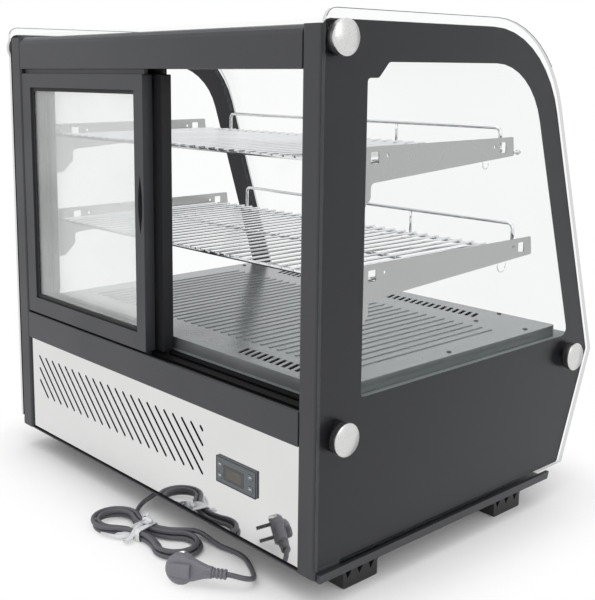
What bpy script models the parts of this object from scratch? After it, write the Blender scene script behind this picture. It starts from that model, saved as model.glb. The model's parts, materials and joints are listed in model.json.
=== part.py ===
"""Countertop refrigerated bakery display case, modelled as separate pieces.

Units are metres and +Z is up. The service side with the sliding doors faces -Y, the curved
front glass faces +Y, and +X is to the right of someone who stands at the doors. Depths are
measured in from the service face, heights up from the counter.
"""

import math
from typing import NamedTuple

import bmesh
import bpy
from mathutils import Matrix, Vector

# Whole case
CASE_WIDTH = 0.702
CASE_DEPTH = 0.568
CASE_HEIGHT = 0.686
FIT = 0.0003
MERGE_DISTANCE = 0.00002
CHORD_ERROR = 0.0004

# Side outline: the top runs straight to the brow, leans out to the kink and back in to the toe
BROW_SETBACK = 0.148
BROW_RADIUS = 0.163
KINK_HEIGHT = 0.214
TOE_SETBACK = 0.063
PANE_CORNER = 0.015
KINK_RADIUS = 0.005

# Feet and base pan
FOOT_HEIGHT = 0.036
FOOT_LENGTH = 0.061
FOOT_WIDTH = 0.060
FOOT_FLARE = 0.011
FOOT_SHOULDER = 0.018
FOOT_INSET = 0.019
REAR_FOOT_DEPTH = 0.094
FRONT_FOOT_SETBACK = 0.169
POCKET_WIDTH = 0.014
POCKET_HEIGHT = 0.013
POCKET_PITCH = 0.0205
POCKET_DEPTH = 0.008
PAN_SHEET = 0.002
PAN_RAIL_HEIGHT = 0.010
PAN_RAIL_WIDTH = 0.0055
PAN_REAR_DEPTH = 0.0042
PAN_FRONT_SETBACK = 0.098
SHADOW_GAP = 0.0065

# Side panes, black print and window
PANE_THICKNESS = 0.005
PRINT_THICKNESS = 0.0006
PRINT_INSET = 0.011
PRINT_FRONT_INSET = 0.004
WINDOW_REAR = 0.0725
WINDOW_SILL = 0.244
WINDOW_BORDER = 0.056
WINDOW_FRONT_BORDER = 0.0455
WINDOW_CORNER = 0.010
NOTCH_DROP = 0.0737
NOTCH_DEPTH = 0.091
NOTCH_SLOPE = 0.017

# Stand-off caps
CAP_RADIUS = 0.020
CAP_THICKNESS = 0.0075
CAP_CHAMFER = 0.0015
CAP_WASHER_RADIUS = 0.0165
CAP_WASHER_THICKNESS = 0.0042
STUD_RADIUS = 0.004
STUD_CLEARANCE = 0.0005
TOP_CAP_DROP = 0.031
TOP_CAP_DEPTH = 0.0215
LOWER_CAP_DEPTH = 0.034
LOWER_CAP_HEIGHT = 0.206
FRONT_CAP_SETBACK = 0.0585

# Curved front glass and lower front panel
GLASS_INSET = 0.0105
GLASS_THICKNESS = 0.0052
GLASS_REAR_DEPTH = 0.012
APRON_SHEET = 0.0025
APRON_RISE = 0.003
APRON_FLANGE = 0.026

# Rear posts, header and lamp
POST_REVEAL = 0.035
POST_DEPTH = 0.045
POST_CORNER = 0.003
HEADER_HEIGHT = 0.048
HEADER_DEPTH = 0.100
HEADER_CHAMFER = 0.017
HEADER_CORNER = 0.010
LAMP_WIDTH = 0.015
LAMP_CROWN = 0.0045
LAMP_MARGIN = 0.020

# Doors and their tracks
PANEL_RISE = 0.0046
PANEL_HEIGHT = 0.150
SILL_HEIGHT = 0.0421
GROOVE_WIDTH = 0.007
SILL_GROOVE = 0.008
HEAD_GROOVE = 0.012
TONGUE_CLEARANCE = 0.0005
DOOR_THICKNESS = 0.016
DOOR_FACE_DEPTH = 0.0015
DOOR_SPACING = 0.020
DOOR_RISE = 0.003
DOOR_HEAD_GAP = 0.007
DOOR_LIFT = 0.0065
DOOR_CLEARANCE = 0.001
DOOR_OVERLAP = 0.024
INNER_DOOR_REST = 0.015
END_STILE = 0.025
MEETING_STILE = 0.020
TOP_RAIL = 0.021
BOTTOM_RAIL = 0.0245
GASKET_WIDTH = 0.005
GASKET_THICKNESS = 0.010
DOOR_GLASS_THICKNESS = 0.005
PULL_HEIGHT = 0.080
PULL_WIDTH = 0.0104
PULL_DEPTH = 0.006
PULL_MARGIN = 0.0034
PULL_CENTRE_HEIGHT = 0.441

# Slotted rear panel and controller
PANEL_RECESS = 0.0036
PANEL_SHEET = 0.0012
PANEL_FLANGE = 0.012
SLOT_PITCH = 0.020
SLOT_WIDTH = 0.004
SLOT_FIELD_MARGIN = 0.061
SLOT_FIELD_CLEARANCE = 0.0312
SLOT_FIELD_TOP = 0.165
SLOT_FIELD_BOTTOM = 0.1015
BEZEL_WIDTH = 0.0770
BEZEL_HEIGHT = 0.0355
BEZEL_SETBACK = 0.1470
BEZEL_CENTRE_HEIGHT = 0.1205
BEZEL_FACE_DEPTH = 0.0009
CONTROLLER_WIDTH = 0.0730
CONTROLLER_HEIGHT = 0.029
CONTROLLER_DEPTH = 0.055
DISPLAY_WIDTH = 0.0395
DISPLAY_HEIGHT = 0.020
DISPLAY_OFFSET_X = -0.004
DISPLAY_OFFSET_HEIGHT = -0.0015
DISPLAY_THICKNESS = 0.0012
DISPLAY_SEAT = 0.0016
KEY_WIDTH = 0.009
KEY_HEIGHT = 0.007
KEY_LENGTH = 0.003
KEY_PROUD = 0.0005
KEY_WELL = 0.0045
KEY_COLUMN_LEFT = -0.0307
KEY_COLUMN_RIGHT = 0.028
KEY_ROW = 0.0075

# Insulated tub and deck
TUB_DEPTH_BELOW_DECK = 0.070
TUB_WALL = 0.030
TUB_FLOOR = 0.014
DECK_TOP = 0.254
DECK_SKIRT = 0.016
DECK_SHEET = 0.002
DECK_SIDE_GAP = 0.0198
DECK_REAR_GAP = 0.001
DECK_FRONT_GAP = 0.0325
DECK_CORNER = 0.006
RIB_PITCH = 0.017
RIB_WIDTH = 0.004
RIB_HEIGHT = 0.0010
RIB_MARGIN = 0.033
RIB_REAR_DEPTH = 0.110
RIB_FRONT_SETBACK = 0.152
AIR_SLOT_PITCH = 0.012
AIR_SLOT_WIDTH = 0.0065
AIR_SLOT_LENGTH = 0.024
AIR_SLOT_LEAN = 0.007
REAR_SLOT_COUNT = 12
REAR_SLOT_SETBACK = 0.217
REAR_SLOT_DEPTH = 0.063
FRONT_SLOT_COUNT = 37
FRONT_SLOT_SETBACK = 0.110

# Shelf uprights, brackets and shelves
UPRIGHT_INSET = 0.021
UPRIGHT_WIDTH = 0.021
UPRIGHT_DEPTH = 0.0165
UPRIGHT_SHEET = 0.002
UPRIGHT_FOOT_GAP = 0.008
UPRIGHT_TOP_GAP = 0.008
UPRIGHT_SLOT_WIDTH = 0.0035
UPRIGHT_SLOT_HEIGHT = 0.018
UPRIGHT_SLOT_PITCH = 0.03475
UPRIGHT_SLOT_COUNT = 10
UPRIGHT_SLOT_BASE = 0.2692
BRACKET_SHEET = 0.0015
BRACKET_NOSE = 0.025
BRACKET_HEEL = 0.0425
BRACKET_ARM_WIDTH = 0.036
BRACKET_ARM_DROP = 0.079
BRACKET_TOE_WIDTH = 0.017
HOOK_HEIGHT = 0.008
HOOK_DROP = 0.005
HOOK_LIP = 0.0025
UPPER_SHELF_SLOT = 6
LOWER_SHELF_SLOT = 2
SHELF_HOOK_DROP = 0.0135
UPPER_BRACKET_SETBACK = 0.192
LOWER_BRACKET_SETBACK = 0.140
SHELF_SEAT_DROP = 0.0205
TAB_WIDTH = 0.014
TAB_REACH = 0.016
TAB_SHEET = 0.0015
TAB_REAR_DEPTH = 0.104
TAB_FRONT_SETBACK = 0.022
SHELF_FRAME_RADIUS = 0.0025
SHELF_WIRE_RADIUS = 0.0017
SHELF_WELD = 0.0012
SHELF_CROWN = 0.0006
SHELF_WIRE_PITCH = 0.021
SHELF_WIRE_MARGIN = 0.020
SHELF_REAR_DEPTH = 0.070
SHELF_CORNER = 0.005
SHELF_SIDE_GAP = 0.0020
SHELF_WIRE_OVERHANG = 0.005
UPPER_SHELF_SETBACK = 0.014
LOWER_SHELF_SETBACK = 0.028
UPPER_RAIL_RISE = 0.030
LOWER_RAIL_RISE = 0.037
RAIL_POST_X = 0.140
RAIL_BEND = 0.008

# Cooling set
CONDENSER_MARGIN = 0.066
CONDENSER_WIDTH = 0.215
CONDENSER_DEPTH = 0.038
CONDENSER_SETBACK = 0.018
CONDENSER_HEIGHT = 0.112
FIN_PITCH = 0.0118
FIN_THICKNESS = 0.002
FIN_SPINE = 0.006
CONDENSER_FAN_SIZE = 0.112
EVAPORATOR_FAN_SIZE = 0.052
FAN_THICKNESS = 0.026
FAN_RIM = 0.004
FAN_STRUT = 0.006
FAN_STRUT_THICKNESS = 0.004
FAN_STRUT_TURN = 38.0
FAN_TIP_GAP = 0.0025
FAN_HUB_SHARE = 0.36
FAN_BLADES = 5
FAN_PITCH_ANGLE = 32.0
FAN_RUNNING_GAP = 0.0005
BLADE_THICKNESS = 0.0016
EVAPORATOR_LEFT = -0.190
EVAPORATOR_WIDTH = 0.250
EVAPORATOR_DEPTH = 0.080
EVAPORATOR_SETBACK = 0.140
EVAPORATOR_HEIGHT = 0.048
COMPRESSOR_X = 0.125
COMPRESSOR_SETBACK = 0.190
COMPRESSOR_RADIUS = 0.056
COMPRESSOR_HEIGHT = 0.096
COMPRESSOR_PLATE = 0.003
COMPRESSOR_PLATE_LENGTH = 0.168
COMPRESSOR_PLATE_WIDTH = 0.092
COMPRESSOR_MOUNT_HEIGHT = 0.012
COMPRESSOR_MOUNT_RADIUS = 0.010

# Mains lead: gland, lead-in, tied hank, tail and angled plug
CORD_DIAMETER = 0.0064
GLAND_X = 0.010
GLAND_DEPTH = 0.044
GLAND_LENGTH = 0.024
GLAND_ROOT_RADIUS = 0.0085
GLAND_TIP_RADIUS = 0.0052
GLAND_DIRECTION = (-0.50, -0.66, -0.56)
HANK_X = 0.0658
HANK_SETBACK = 0.0409
HANK_TURN = 12.0
HANK_LOBE = 0.022
HANK_LOBE_OFFSET = 0.056
HANK_WAIST = 0.004
HANK_PITCH = 0.0072
HANK_START = -1 / 12
HANK_REVERSE = 1.5
HANK_END = 37 / 12
HANK_RUN_SHARE = 1 / 3
HANK_POINTS_PER_LOOP = 24
TIE_THICKNESS = 0.0012
TIE_WIDTH = 0.008
TIE_CORNER = 0.003
PLUG_RADIUS = 0.0192
PLUG_THICKNESS = 0.019
PLUG_NECK = 0.058
PLUG_AXIS_HEIGHT = 0.0210
PLUG_TILT = 14.0
PLUG_PIN_RADIUS = 0.0024
PLUG_PIN_LENGTH = 0.019
PLUG_PIN_SPREAD = 0.0095
PLUG_RIBS = 4

# Cord routes in the hank's own axes: along the hank, across it towards the case, and height
LEAD_ROUTE = (
    (-0.0630, 0.0680, 0.0118),
    (-0.0632, 0.0560, 0.0074),
    (-0.0572, 0.0442, 0.0054),
)
TAIL_ROUTE = (
    (0.0548, 0.0383, 0.0122),
    (0.0640, 0.0394, 0.0116),
    (0.0745, 0.0384, 0.0102),
    (0.0865, 0.0366, 0.0080),
    (0.1000, 0.0357, 0.0056),
    (0.1155, 0.0366, 0.0042),
    (0.1310, 0.0355, 0.0038),
    (0.1460, 0.0300, 0.0038),
    (0.1600, 0.0205, 0.0038),
    (0.1735, 0.0090, 0.0040),
    (0.1845, -0.0030, 0.0062),
    (0.1906, -0.0155, 0.0108),
    (0.1890, -0.0285, 0.0165),
)
PLUG_ENTRY = (0.1714, -0.0409)
PLUG_HEADING = (-0.930, -0.3665)


class Finish(NamedTuple):
    """Colour, roughness and metallic value of one kind of surface."""

    colour: tuple
    roughness: float
    metallic: float = 0.0
    transmission: float = 0.0


SATIN_BLACK = Finish((0.085, 0.086, 0.092), 0.42)
PRINT_BLACK = Finish((0.052, 0.052, 0.056), 0.22)
MOULDED_BLACK = Finish((0.030, 0.031, 0.034), 0.55)
RUBBER_BLACK = Finish((0.012, 0.012, 0.013), 0.80)
POLISHED_STEEL = Finish((0.78, 0.78, 0.77), 0.12, 1.0)
BRUSHED_STEEL = Finish((0.66, 0.66, 0.65), 0.35, 1.0)
CHROME_WIRE = Finish((0.80, 0.81, 0.82), 0.15, 1.0)
GREY_SHEET = Finish((0.50, 0.52, 0.52), 0.30, 0.7)
CLEAR_GLASS = Finish((0.93, 0.97, 0.96), 0.02, 0.0, 1.0)
LAMP_WHITE = Finish((0.92, 0.93, 0.94), 0.45)
FOAM_WHITE = Finish((0.72, 0.72, 0.70), 0.70)
FIN_METAL = Finish((0.70, 0.71, 0.72), 0.40, 1.0)
PAINTED_BLACK = Finish((0.020, 0.020, 0.021), 0.45)
DISPLAY_DARK = Finish((0.045, 0.035, 0.032), 0.15)
CORD_GREY = Finish((0.105, 0.105, 0.115), 0.50)
TIE_WHITE = Finish((0.82, 0.83, 0.85), 0.45)

# Values that follow from the sizes above
HALF_WIDTH = CASE_WIDTH / 2
INNER_HALF = HALF_WIDTH - PANE_THICKNESS - PRINT_THICKNESS - 2 * FIT
OPENING_HALF = HALF_WIDTH - POST_REVEAL
PANE_BOTTOM = FOOT_HEIGHT + PAN_RAIL_HEIGHT + SHADOW_GAP
PAN_FLOOR = FOOT_HEIGHT + PAN_SHEET
HEADER_TOP = CASE_HEIGHT - GLASS_INSET - GLASS_THICKNESS - FIT
HEADER_BOTTOM = HEADER_TOP - HEADER_HEIGHT
PANEL_BOTTOM = PAN_FLOOR + PANEL_RISE
SILL_BOTTOM = PANEL_BOTTOM + PANEL_HEIGHT + FIT
SILL_TOP = SILL_BOTTOM + SILL_HEIGHT
DOOR_BOTTOM = SILL_TOP + DOOR_RISE
DOOR_TOP = HEADER_BOTTOM - DOOR_HEAD_GAP
DOOR_WIDTH = OPENING_HALF - DOOR_CLEARANCE + DOOR_OVERLAP / 2
DOOR_LEFT_STOP = -OPENING_HALF + DOOR_CLEARANCE
DECK_BOTTOM = DECK_TOP - DECK_SKIRT
DECK_HALF_WIDTH = INNER_HALF - DECK_SIDE_GAP
DECK_REAR_DEPTH = POST_DEPTH + DECK_REAR_GAP
TUB_TOP = DECK_BOTTOM - FIT
TUB_BOTTOM = TUB_TOP - TUB_DEPTH_BELOW_DECK
TUB_CAVITY_FLOOR = TUB_BOTTOM + TUB_FLOOR
LEAN_UPPER = BROW_SETBACK / (CASE_HEIGHT - KINK_HEIGHT)
LEAN_LOWER = TOE_SETBACK / (KINK_HEIGHT - PANE_BOTTOM)
NOTCH_HEIGHT = CASE_HEIGHT - NOTCH_DROP
FRONT_FOOT_DEPTH = CASE_DEPTH - FRONT_FOOT_SETBACK
PAN_FRONT_DEPTH = CASE_DEPTH - PAN_FRONT_SETBACK
BEZEL_CENTRE_X = HALF_WIDTH - BEZEL_SETBACK
SLOT_FIELD_LEFT = SLOT_FIELD_MARGIN - HALF_WIDTH
SLOT_FIELD_RIGHT = BEZEL_CENTRE_X - BEZEL_WIDTH / 2 - SLOT_FIELD_CLEARANCE
RIB_COUNT = 2 * math.floor((DECK_HALF_WIDTH - RIB_MARGIN) / RIB_PITCH)
RIB_FRONT_DEPTH = CASE_DEPTH - RIB_FRONT_SETBACK
REAR_SLOT_START_X = HALF_WIDTH - REAR_SLOT_SETBACK
FRONT_SLOT_DEPTH = CASE_DEPTH - FRONT_SLOT_SETBACK
UPRIGHT_X = HALF_WIDTH - UPRIGHT_INSET
UPPER_BRACKET_FRONT = CASE_DEPTH - UPPER_BRACKET_SETBACK
LOWER_BRACKET_FRONT = CASE_DEPTH - LOWER_BRACKET_SETBACK
SHELF_HALF_WIDTH = UPRIGHT_X - BRACKET_SHEET / 2 - SHELF_SIDE_GAP - SHELF_FRAME_RADIUS
SHELF_WIRE_COUNT = 2 * math.floor((SHELF_HALF_WIDTH - SHELF_WIRE_MARGIN) / SHELF_WIRE_PITCH) + 1
CONDENSER_LEFT = CONDENSER_MARGIN - HALF_WIDTH
CORD_RADIUS = CORD_DIAMETER / 2
HANK_BASE = TIE_THICKNESS + 2 * FIT + CORD_RADIUS

PARTS = bpy.data.collections.new("bakery_display_case")
CUTTERS = bpy.data.collections.new("cutters")


def at_depth(depth):
    """World Y of a depth measured in from the service face."""
    return depth - CASE_DEPTH / 2


def front_upper(height, inset):
    """Depth of the leaning front above the kink, moved in square to itself."""
    return CASE_DEPTH - (height - KINK_HEIGHT) * LEAN_UPPER - inset * math.hypot(1, LEAN_UPPER)


def front_lower(height, inset):
    """Depth of the undercut front below the kink, moved in square to itself."""
    return CASE_DEPTH - (KINK_HEIGHT - height) * LEAN_LOWER - inset * math.hypot(1, LEAN_LOWER)


def kink_at(inset):
    """Corner where the two inset front lines meet."""
    shift = math.hypot(1, LEAN_LOWER) - math.hypot(1, LEAN_UPPER)
    height = KINK_HEIGHT + inset * shift / (LEAN_UPPER + LEAN_LOWER)
    return front_upper(height, inset), height


def rounded(corners):
    """Outline through (point, radius) corners, with an arc in place of each round corner."""
    outline = []
    for index, (corner, radius) in enumerate(corners):
        corner = Vector(corner)
        if radius <= 0:
            outline.append(tuple(corner))
            continue
        back = (Vector(corners[index - 1][0]) - corner).normalized()
        ahead = (Vector(corners[(index + 1) % len(corners)][0]) - corner).normalized()
        half = back.angle(ahead) / 2
        centre = corner + (back + ahead).normalized() * radius / math.sin(half)
        start = corner + back * radius / math.tan(half) - centre
        end = corner + ahead * radius / math.tan(half) - centre
        sweep = math.atan2(start.x * end.y - start.y * end.x, start.dot(end))
        step = 2 * math.acos(max(0.0, 1 - CHORD_ERROR / radius))
        count = max(2, math.ceil(abs(sweep) / step))
        for number in range(count + 1):
            turn = Matrix.Rotation(sweep * number / count, 2)
            outline.append(tuple(centre + turn @ start))
    return outline


def rectangle(low_u, high_u, low_v, high_v, radius=0.0):
    """Rectangular outline with round corners."""
    corners = ((low_u, low_v), (high_u, low_v), (high_u, high_v), (low_u, high_v))
    return rounded([(corner, radius) for corner in corners])


def circle(centre_u, centre_v, radius, sides=14):
    """Round outline."""
    turns = [2 * math.pi * (number + 0.3) / sides for number in range(sides)]
    return [(centre_u + radius * math.cos(a), centre_v + radius * math.sin(a)) for a in turns]


def paint(thing, finish):
    """Give an object a material of its own."""
    material = bpy.data.materials.new(thing.name)
    material.use_nodes = True
    shader = material.node_tree.nodes["Principled BSDF"]
    shader.inputs["Base Color"].default_value = (*finish.colour, 1.0)
    shader.inputs["Roughness"].default_value = finish.roughness
    shader.inputs["Metallic"].default_value = finish.metallic
    shader.inputs["Transmission Weight"].default_value = finish.transmission
    thing.data.materials.clear()
    thing.data.materials.append(material)
    return thing


def as_part(name, mesh, finish):
    """Object for one piece, in the collection of parts."""
    thing = bpy.data.objects.new(name, mesh)
    PARTS.objects.link(thing)
    mesh.shade_smooth()
    mesh.set_sharp_from_angle(angle=math.radians(35))
    return paint(thing, finish)


def as_cutter(name, mesh):
    """Helper object that is cut from a piece or joined to it."""
    thing = bpy.data.objects.new(name, mesh)
    CUTTERS.objects.link(thing)
    thing.hide_render = True
    thing.display_type = "WIRE"
    return thing


def combine(thing, mesh, operation):
    """Boolean of a piece with a helper mesh."""
    helper = as_cutter(f"{thing.name}_{operation.lower()}_{len(thing.modifiers)}", mesh)
    modifier = thing.modifiers.new(operation.title(), "BOOLEAN")
    modifier.operation = operation
    modifier.solver = "EXACT"
    modifier.object = helper
    return thing


def cut(thing, mesh):
    """Remove a helper mesh from a piece."""
    return combine(thing, mesh, "DIFFERENCE")


def join(thing, mesh):
    """Weld a helper mesh to a piece that it overlaps."""
    return combine(thing, mesh, "UNION")


def tidy_facets(thing):
    """Merge points that a Boolean leaves almost on top of each other, and split notched faces evenly."""
    weld = thing.modifiers.new("Weld", "WELD")
    weld.merge_threshold = MERGE_DISTANCE
    split = thing.modifiers.new("Triangulate", "TRIANGULATE")
    split.ngon_method = "BEAUTY"
    return thing


def mesh_of(thing):
    """Evaluated mesh of an object in world space, with its caps welded and its faces turned out."""
    bpy.context.scene.collection.objects.link(thing)
    evaluated = thing.evaluated_get(bpy.context.evaluated_depsgraph_get())
    mesh = bpy.data.meshes.new_from_object(evaluated)
    mesh.transform(thing.matrix_world)
    shape = bmesh.new()
    shape.from_mesh(mesh)
    bmesh.ops.remove_doubles(shape, verts=shape.verts, dist=1e-6)
    bmesh.ops.recalc_face_normals(shape, faces=shape.faces)
    shape.to_mesh(mesh)
    shape.free()
    bpy.data.objects.remove(thing)
    return mesh


def plane_along(axis, offset):
    """Frame of an outline's plane: X outlines hold (depth, height), Y (x, height) and Z (x, depth)."""
    if axis == "X":
        rows = ((0, 0, 1, offset), (1, 0, 0, -CASE_DEPTH / 2), (0, 1, 0, 0), (0, 0, 0, 1))
    elif axis == "Y":
        rows = ((1, 0, 0, 0), (0, 0, -1, at_depth(offset)), (0, 1, 0, 0), (0, 0, 0, 1))
    else:
        rows = ((1, 0, 0, 0), (0, 1, 0, -CASE_DEPTH / 2), (0, 0, 1, offset), (0, 0, 0, 1))
    return Matrix(rows)


def extruded(loops, frame, thickness):
    """Mesh of flat outlines, holes included, extruded to a thickness about their plane."""
    curve = bpy.data.curves.new("outline", "CURVE")
    curve.dimensions = "2D"
    curve.fill_mode = "BOTH"
    curve.extrude = thickness / 2
    for loop in loops:
        spline = curve.splines.new("POLY")
        spline.points.add(len(loop) - 1)
        for point, (u, v) in zip(spline.points, loop):
            point.co = (u, v, 0.0, 1.0)
        spline.use_cyclic_u = True
    carrier = bpy.data.objects.new("outline", curve)
    carrier.matrix_world = frame
    return mesh_of(carrier)


def slab(loops, axis, low, high):
    """Mesh of outlines extruded between two planes square to an axis."""
    return extruded(loops, plane_along(axis, (low + high) / 2), high - low)


def block(low, high):
    """Mesh of a box between two corners given as (x, depth, height)."""
    size = Vector(high) - Vector(low)
    middle = (Vector(high) + Vector(low)) / 2 - Vector((0, CASE_DEPTH / 2, 0))
    mesh = bpy.data.meshes.new("block")
    shape = bmesh.new()
    bmesh.ops.create_cube(shape, size=1.0, matrix=Matrix.Translation(middle) @ Matrix.Diagonal((*size, 1)))
    shape.to_mesh(mesh)
    shape.free()
    return mesh


def rods(ends, radius, sides):
    """Mesh of straight round rods, given their two end points in world space."""
    mesh = bpy.data.meshes.new("rods")
    shape = bmesh.new()
    for start, end in ends:
        start, end = Vector(start), Vector(end)
        along = end - start
        frame = Matrix.Translation((start + end) / 2) @ along.to_track_quat("Z", "Y").to_matrix().to_4x4()
        frame = frame @ Matrix.Rotation(math.pi / sides, 4, "Z")
        bmesh.ops.create_cone(
            shape,
            cap_ends=True,
            segments=sides,
            radius1=radius,
            radius2=radius,
            depth=along.length,
            matrix=frame,
        )
    shape.to_mesh(mesh)
    shape.free()
    return mesh


def turned(profile, frame, steps=20):
    """Mesh of an (offset along the axis, radius) profile turned about the frame's Z axis."""
    mesh = bpy.data.meshes.new("profile")
    points = [(radius, 0.0, along) for along, radius in profile]
    mesh.from_pydata(points, [(i, i + 1) for i in range(len(points) - 1)], [])
    carrier = bpy.data.objects.new("profile", mesh)
    screw = carrier.modifiers.new("Screw", "SCREW")
    screw.steps = steps
    screw.render_steps = steps
    screw.use_merge_vertices = True
    screw.merge_threshold = 0.00001
    carrier.matrix_world = frame
    return mesh_of(carrier)


def tube(points, radius, resolution, closed=False):
    """Mesh of a round tube along points in world space."""
    curve = bpy.data.curves.new("route", "CURVE")
    curve.dimensions = "3D"
    curve.bevel_depth = radius
    curve.bevel_resolution = resolution
    curve.use_fill_caps = not closed
    spline = curve.splines.new("POLY")
    spline.points.add(len(points) - 1)
    for point, place in zip(spline.points, points):
        point.co = (*place, 1.0)
    spline.use_cyclic_u = closed
    return mesh_of(bpy.data.objects.new("route", curve))


def axis_frame(origin, direction, up=(0.0, 0.0, 1.0)):
    """Frame at an origin whose Z axis points along a direction."""
    along = Vector(direction).normalized()
    side = Vector(up).cross(along).normalized()
    rise = along.cross(side)
    frame = Matrix((side, rise, along)).transposed().to_4x4()
    frame.translation = Vector(origin)
    return frame


def joint_empty(name, place, pieces):
    """Empty on a joint's axis that carries the pieces moving with it."""
    empty = bpy.data.objects.new(name, None)
    empty.location = place
    empty.empty_display_size = 0.02
    PARTS.objects.link(empty)
    for piece in pieces:
        piece.parent = empty
        piece.matrix_parent_inverse = Matrix.Translation(place).inverted()
    return empty


def side_name(sign):
    """Left or right as seen from the service side."""
    return "right" if sign > 0 else "left"


def case_corners(top, front, rear_corner):
    """Corners of the side outline, moved in by a top inset and a front inset."""
    height = CASE_HEIGHT - top
    return [
        ((0.0, PANE_BOTTOM), 0.0),
        ((front_lower(PANE_BOTTOM, front), PANE_BOTTOM), 0.004),
        (kink_at(front), KINK_RADIUS),
        ((front_upper(height, front), height), BROW_RADIUS - front),
        ((0.0, height), rear_corner),
    ]


def cap_places():
    """Depth and height of the three caps on each side."""
    return {
        "top": (TOP_CAP_DEPTH, CASE_HEIGHT - TOP_CAP_DROP),
        "lower": (LOWER_CAP_DEPTH, LOWER_CAP_HEIGHT),
        "front": (CASE_DEPTH - FRONT_CAP_SETBACK, KINK_HEIGHT),
    }


def window_outline():
    """Clear window in the black print, stepped at the top to hide the end of the header."""
    top = CASE_HEIGHT - WINDOW_BORDER
    return rounded(
        [
            ((WINDOW_REAR, WINDOW_SILL), 0.004),
            ((front_upper(WINDOW_SILL, WINDOW_FRONT_BORDER), WINDOW_SILL), WINDOW_CORNER),
            ((front_upper(top, WINDOW_FRONT_BORDER), top), BROW_RADIUS - WINDOW_BORDER),
            ((NOTCH_DEPTH + NOTCH_SLOPE, top), 0.006),
            ((NOTCH_DEPTH, NOTCH_HEIGHT), 0.006),
            ((WINDOW_REAR, NOTCH_HEIGHT), 0.004),
        ]
    )


def make_base_pan():
    """Folded base tray with a rail under each side pane and an upstand behind the rear panel."""
    inner = HALF_WIDTH - PAN_RAIL_WIDTH
    rail_top = FOOT_HEIGHT + PAN_RAIL_HEIGHT
    section = [
        (-HALF_WIDTH, FOOT_HEIGHT),
        (HALF_WIDTH, FOOT_HEIGHT),
        (HALF_WIDTH, rail_top),
        (inner, rail_top),
        (inner, PAN_FLOOR),
        (-inner, PAN_FLOOR),
        (-inner, rail_top),
        (-HALF_WIDTH, rail_top),
    ]
    mesh = slab([section], "Y", PAN_REAR_DEPTH, PAN_FRONT_DEPTH)
    for vertex in mesh.vertices:
        if vertex.co.y > 0:
            vertex.co.y += (vertex.co.z - FOOT_HEIGHT) * LEAN_LOWER
    pan = as_part("base_pan", mesh, SATIN_BLACK)
    upstand_face = PANEL_RECESS + PANEL_SHEET + PANEL_FLANGE + FIT
    upstand_half = OPENING_HALF - PAN_RAIL_WIDTH
    join(
        pan,
        block(
            (-upstand_half, upstand_face, PAN_FLOOR - PAN_SHEET / 2),
            (upstand_half, upstand_face + PAN_SHEET, PANEL_BOTTOM + PANEL_FLANGE),
        ),
    )


def foot_mesh():
    """One moulded foot about its own centre, flared at the shoulder, with triangular pockets outside."""
    half = FOOT_LENGTH / 2
    top = FOOT_HEIGHT - FIT
    outline = rounded(
        [
            ((-half, 0.0), 0.002),
            ((half, 0.0), 0.002),
            ((half, FOOT_SHOULDER), 0.0),
            ((half + FOOT_FLARE, top), 0.0),
            ((-half - FOOT_FLARE, top), 0.0),
            ((-half, FOOT_SHOULDER), 0.0),
        ]
    )
    upright = Matrix(((0, 0, 1, 0), (1, 0, 0, 0), (0, 1, 0, 0), (0, 0, 0, 1)))
    pockets = []
    for number in (-1, 0, 1):
        left = number * POCKET_PITCH - POCKET_WIDTH / 2
        high = top - FOOT_FLARE
        point = (left + POCKET_WIDTH / 3, high - POCKET_HEIGHT)
        pockets.append([(left, high), (left + POCKET_WIDTH, high), point])
    foot = as_part("foot_pattern", extruded([outline], upright, FOOT_WIDTH), MOULDED_BLACK)
    outside = Matrix.Translation((FOOT_WIDTH / 2, 0, 0)) @ upright
    cut(foot, extruded(pockets, outside, 2 * POCKET_DEPTH))
    bpy.context.view_layer.update()
    evaluated = foot.evaluated_get(bpy.context.evaluated_depsgraph_get())
    mesh = bpy.data.meshes.new_from_object(evaluated)
    bpy.data.objects.remove(foot.modifiers[0].object)
    bpy.data.objects.remove(foot)
    return mesh


def make_feet():
    """Four feet off one pattern, the left pair turned half round."""
    pattern = foot_mesh()
    offset = HALF_WIDTH - FOOT_INSET - FOOT_WIDTH / 2
    for row, depth in (("rear", REAR_FOOT_DEPTH), ("front", FRONT_FOOT_DEPTH)):
        for sign in (-1, 1):
            foot = as_part(f"{row}_{side_name(sign)}_foot", pattern.copy(), MOULDED_BLACK)
            foot.location = (sign * offset, at_depth(depth), 0.0)
            foot.rotation_euler = (0.0, 0.0, 0.0 if sign > 0 else math.pi)


def make_posts():
    """Two rear posts that stand on the base pan and carry the header, sill and side panes."""
    for sign in (-1, 1):
        near, far = sorted((sign * OPENING_HALF, sign * INNER_HALF))
        outline = rectangle(near, far, 0.0, POST_DEPTH, POST_CORNER)
        mesh = slab([outline], "Z", PAN_FLOOR + FIT, HEADER_TOP)
        as_part(f"{side_name(sign)}_post", mesh, SATIN_BLACK)


def groove_depths():
    """Centre depth of the outer and the inner door's track."""
    outer = DOOR_FACE_DEPTH + DOOR_THICKNESS / 2
    return outer, outer + DOOR_SPACING


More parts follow.
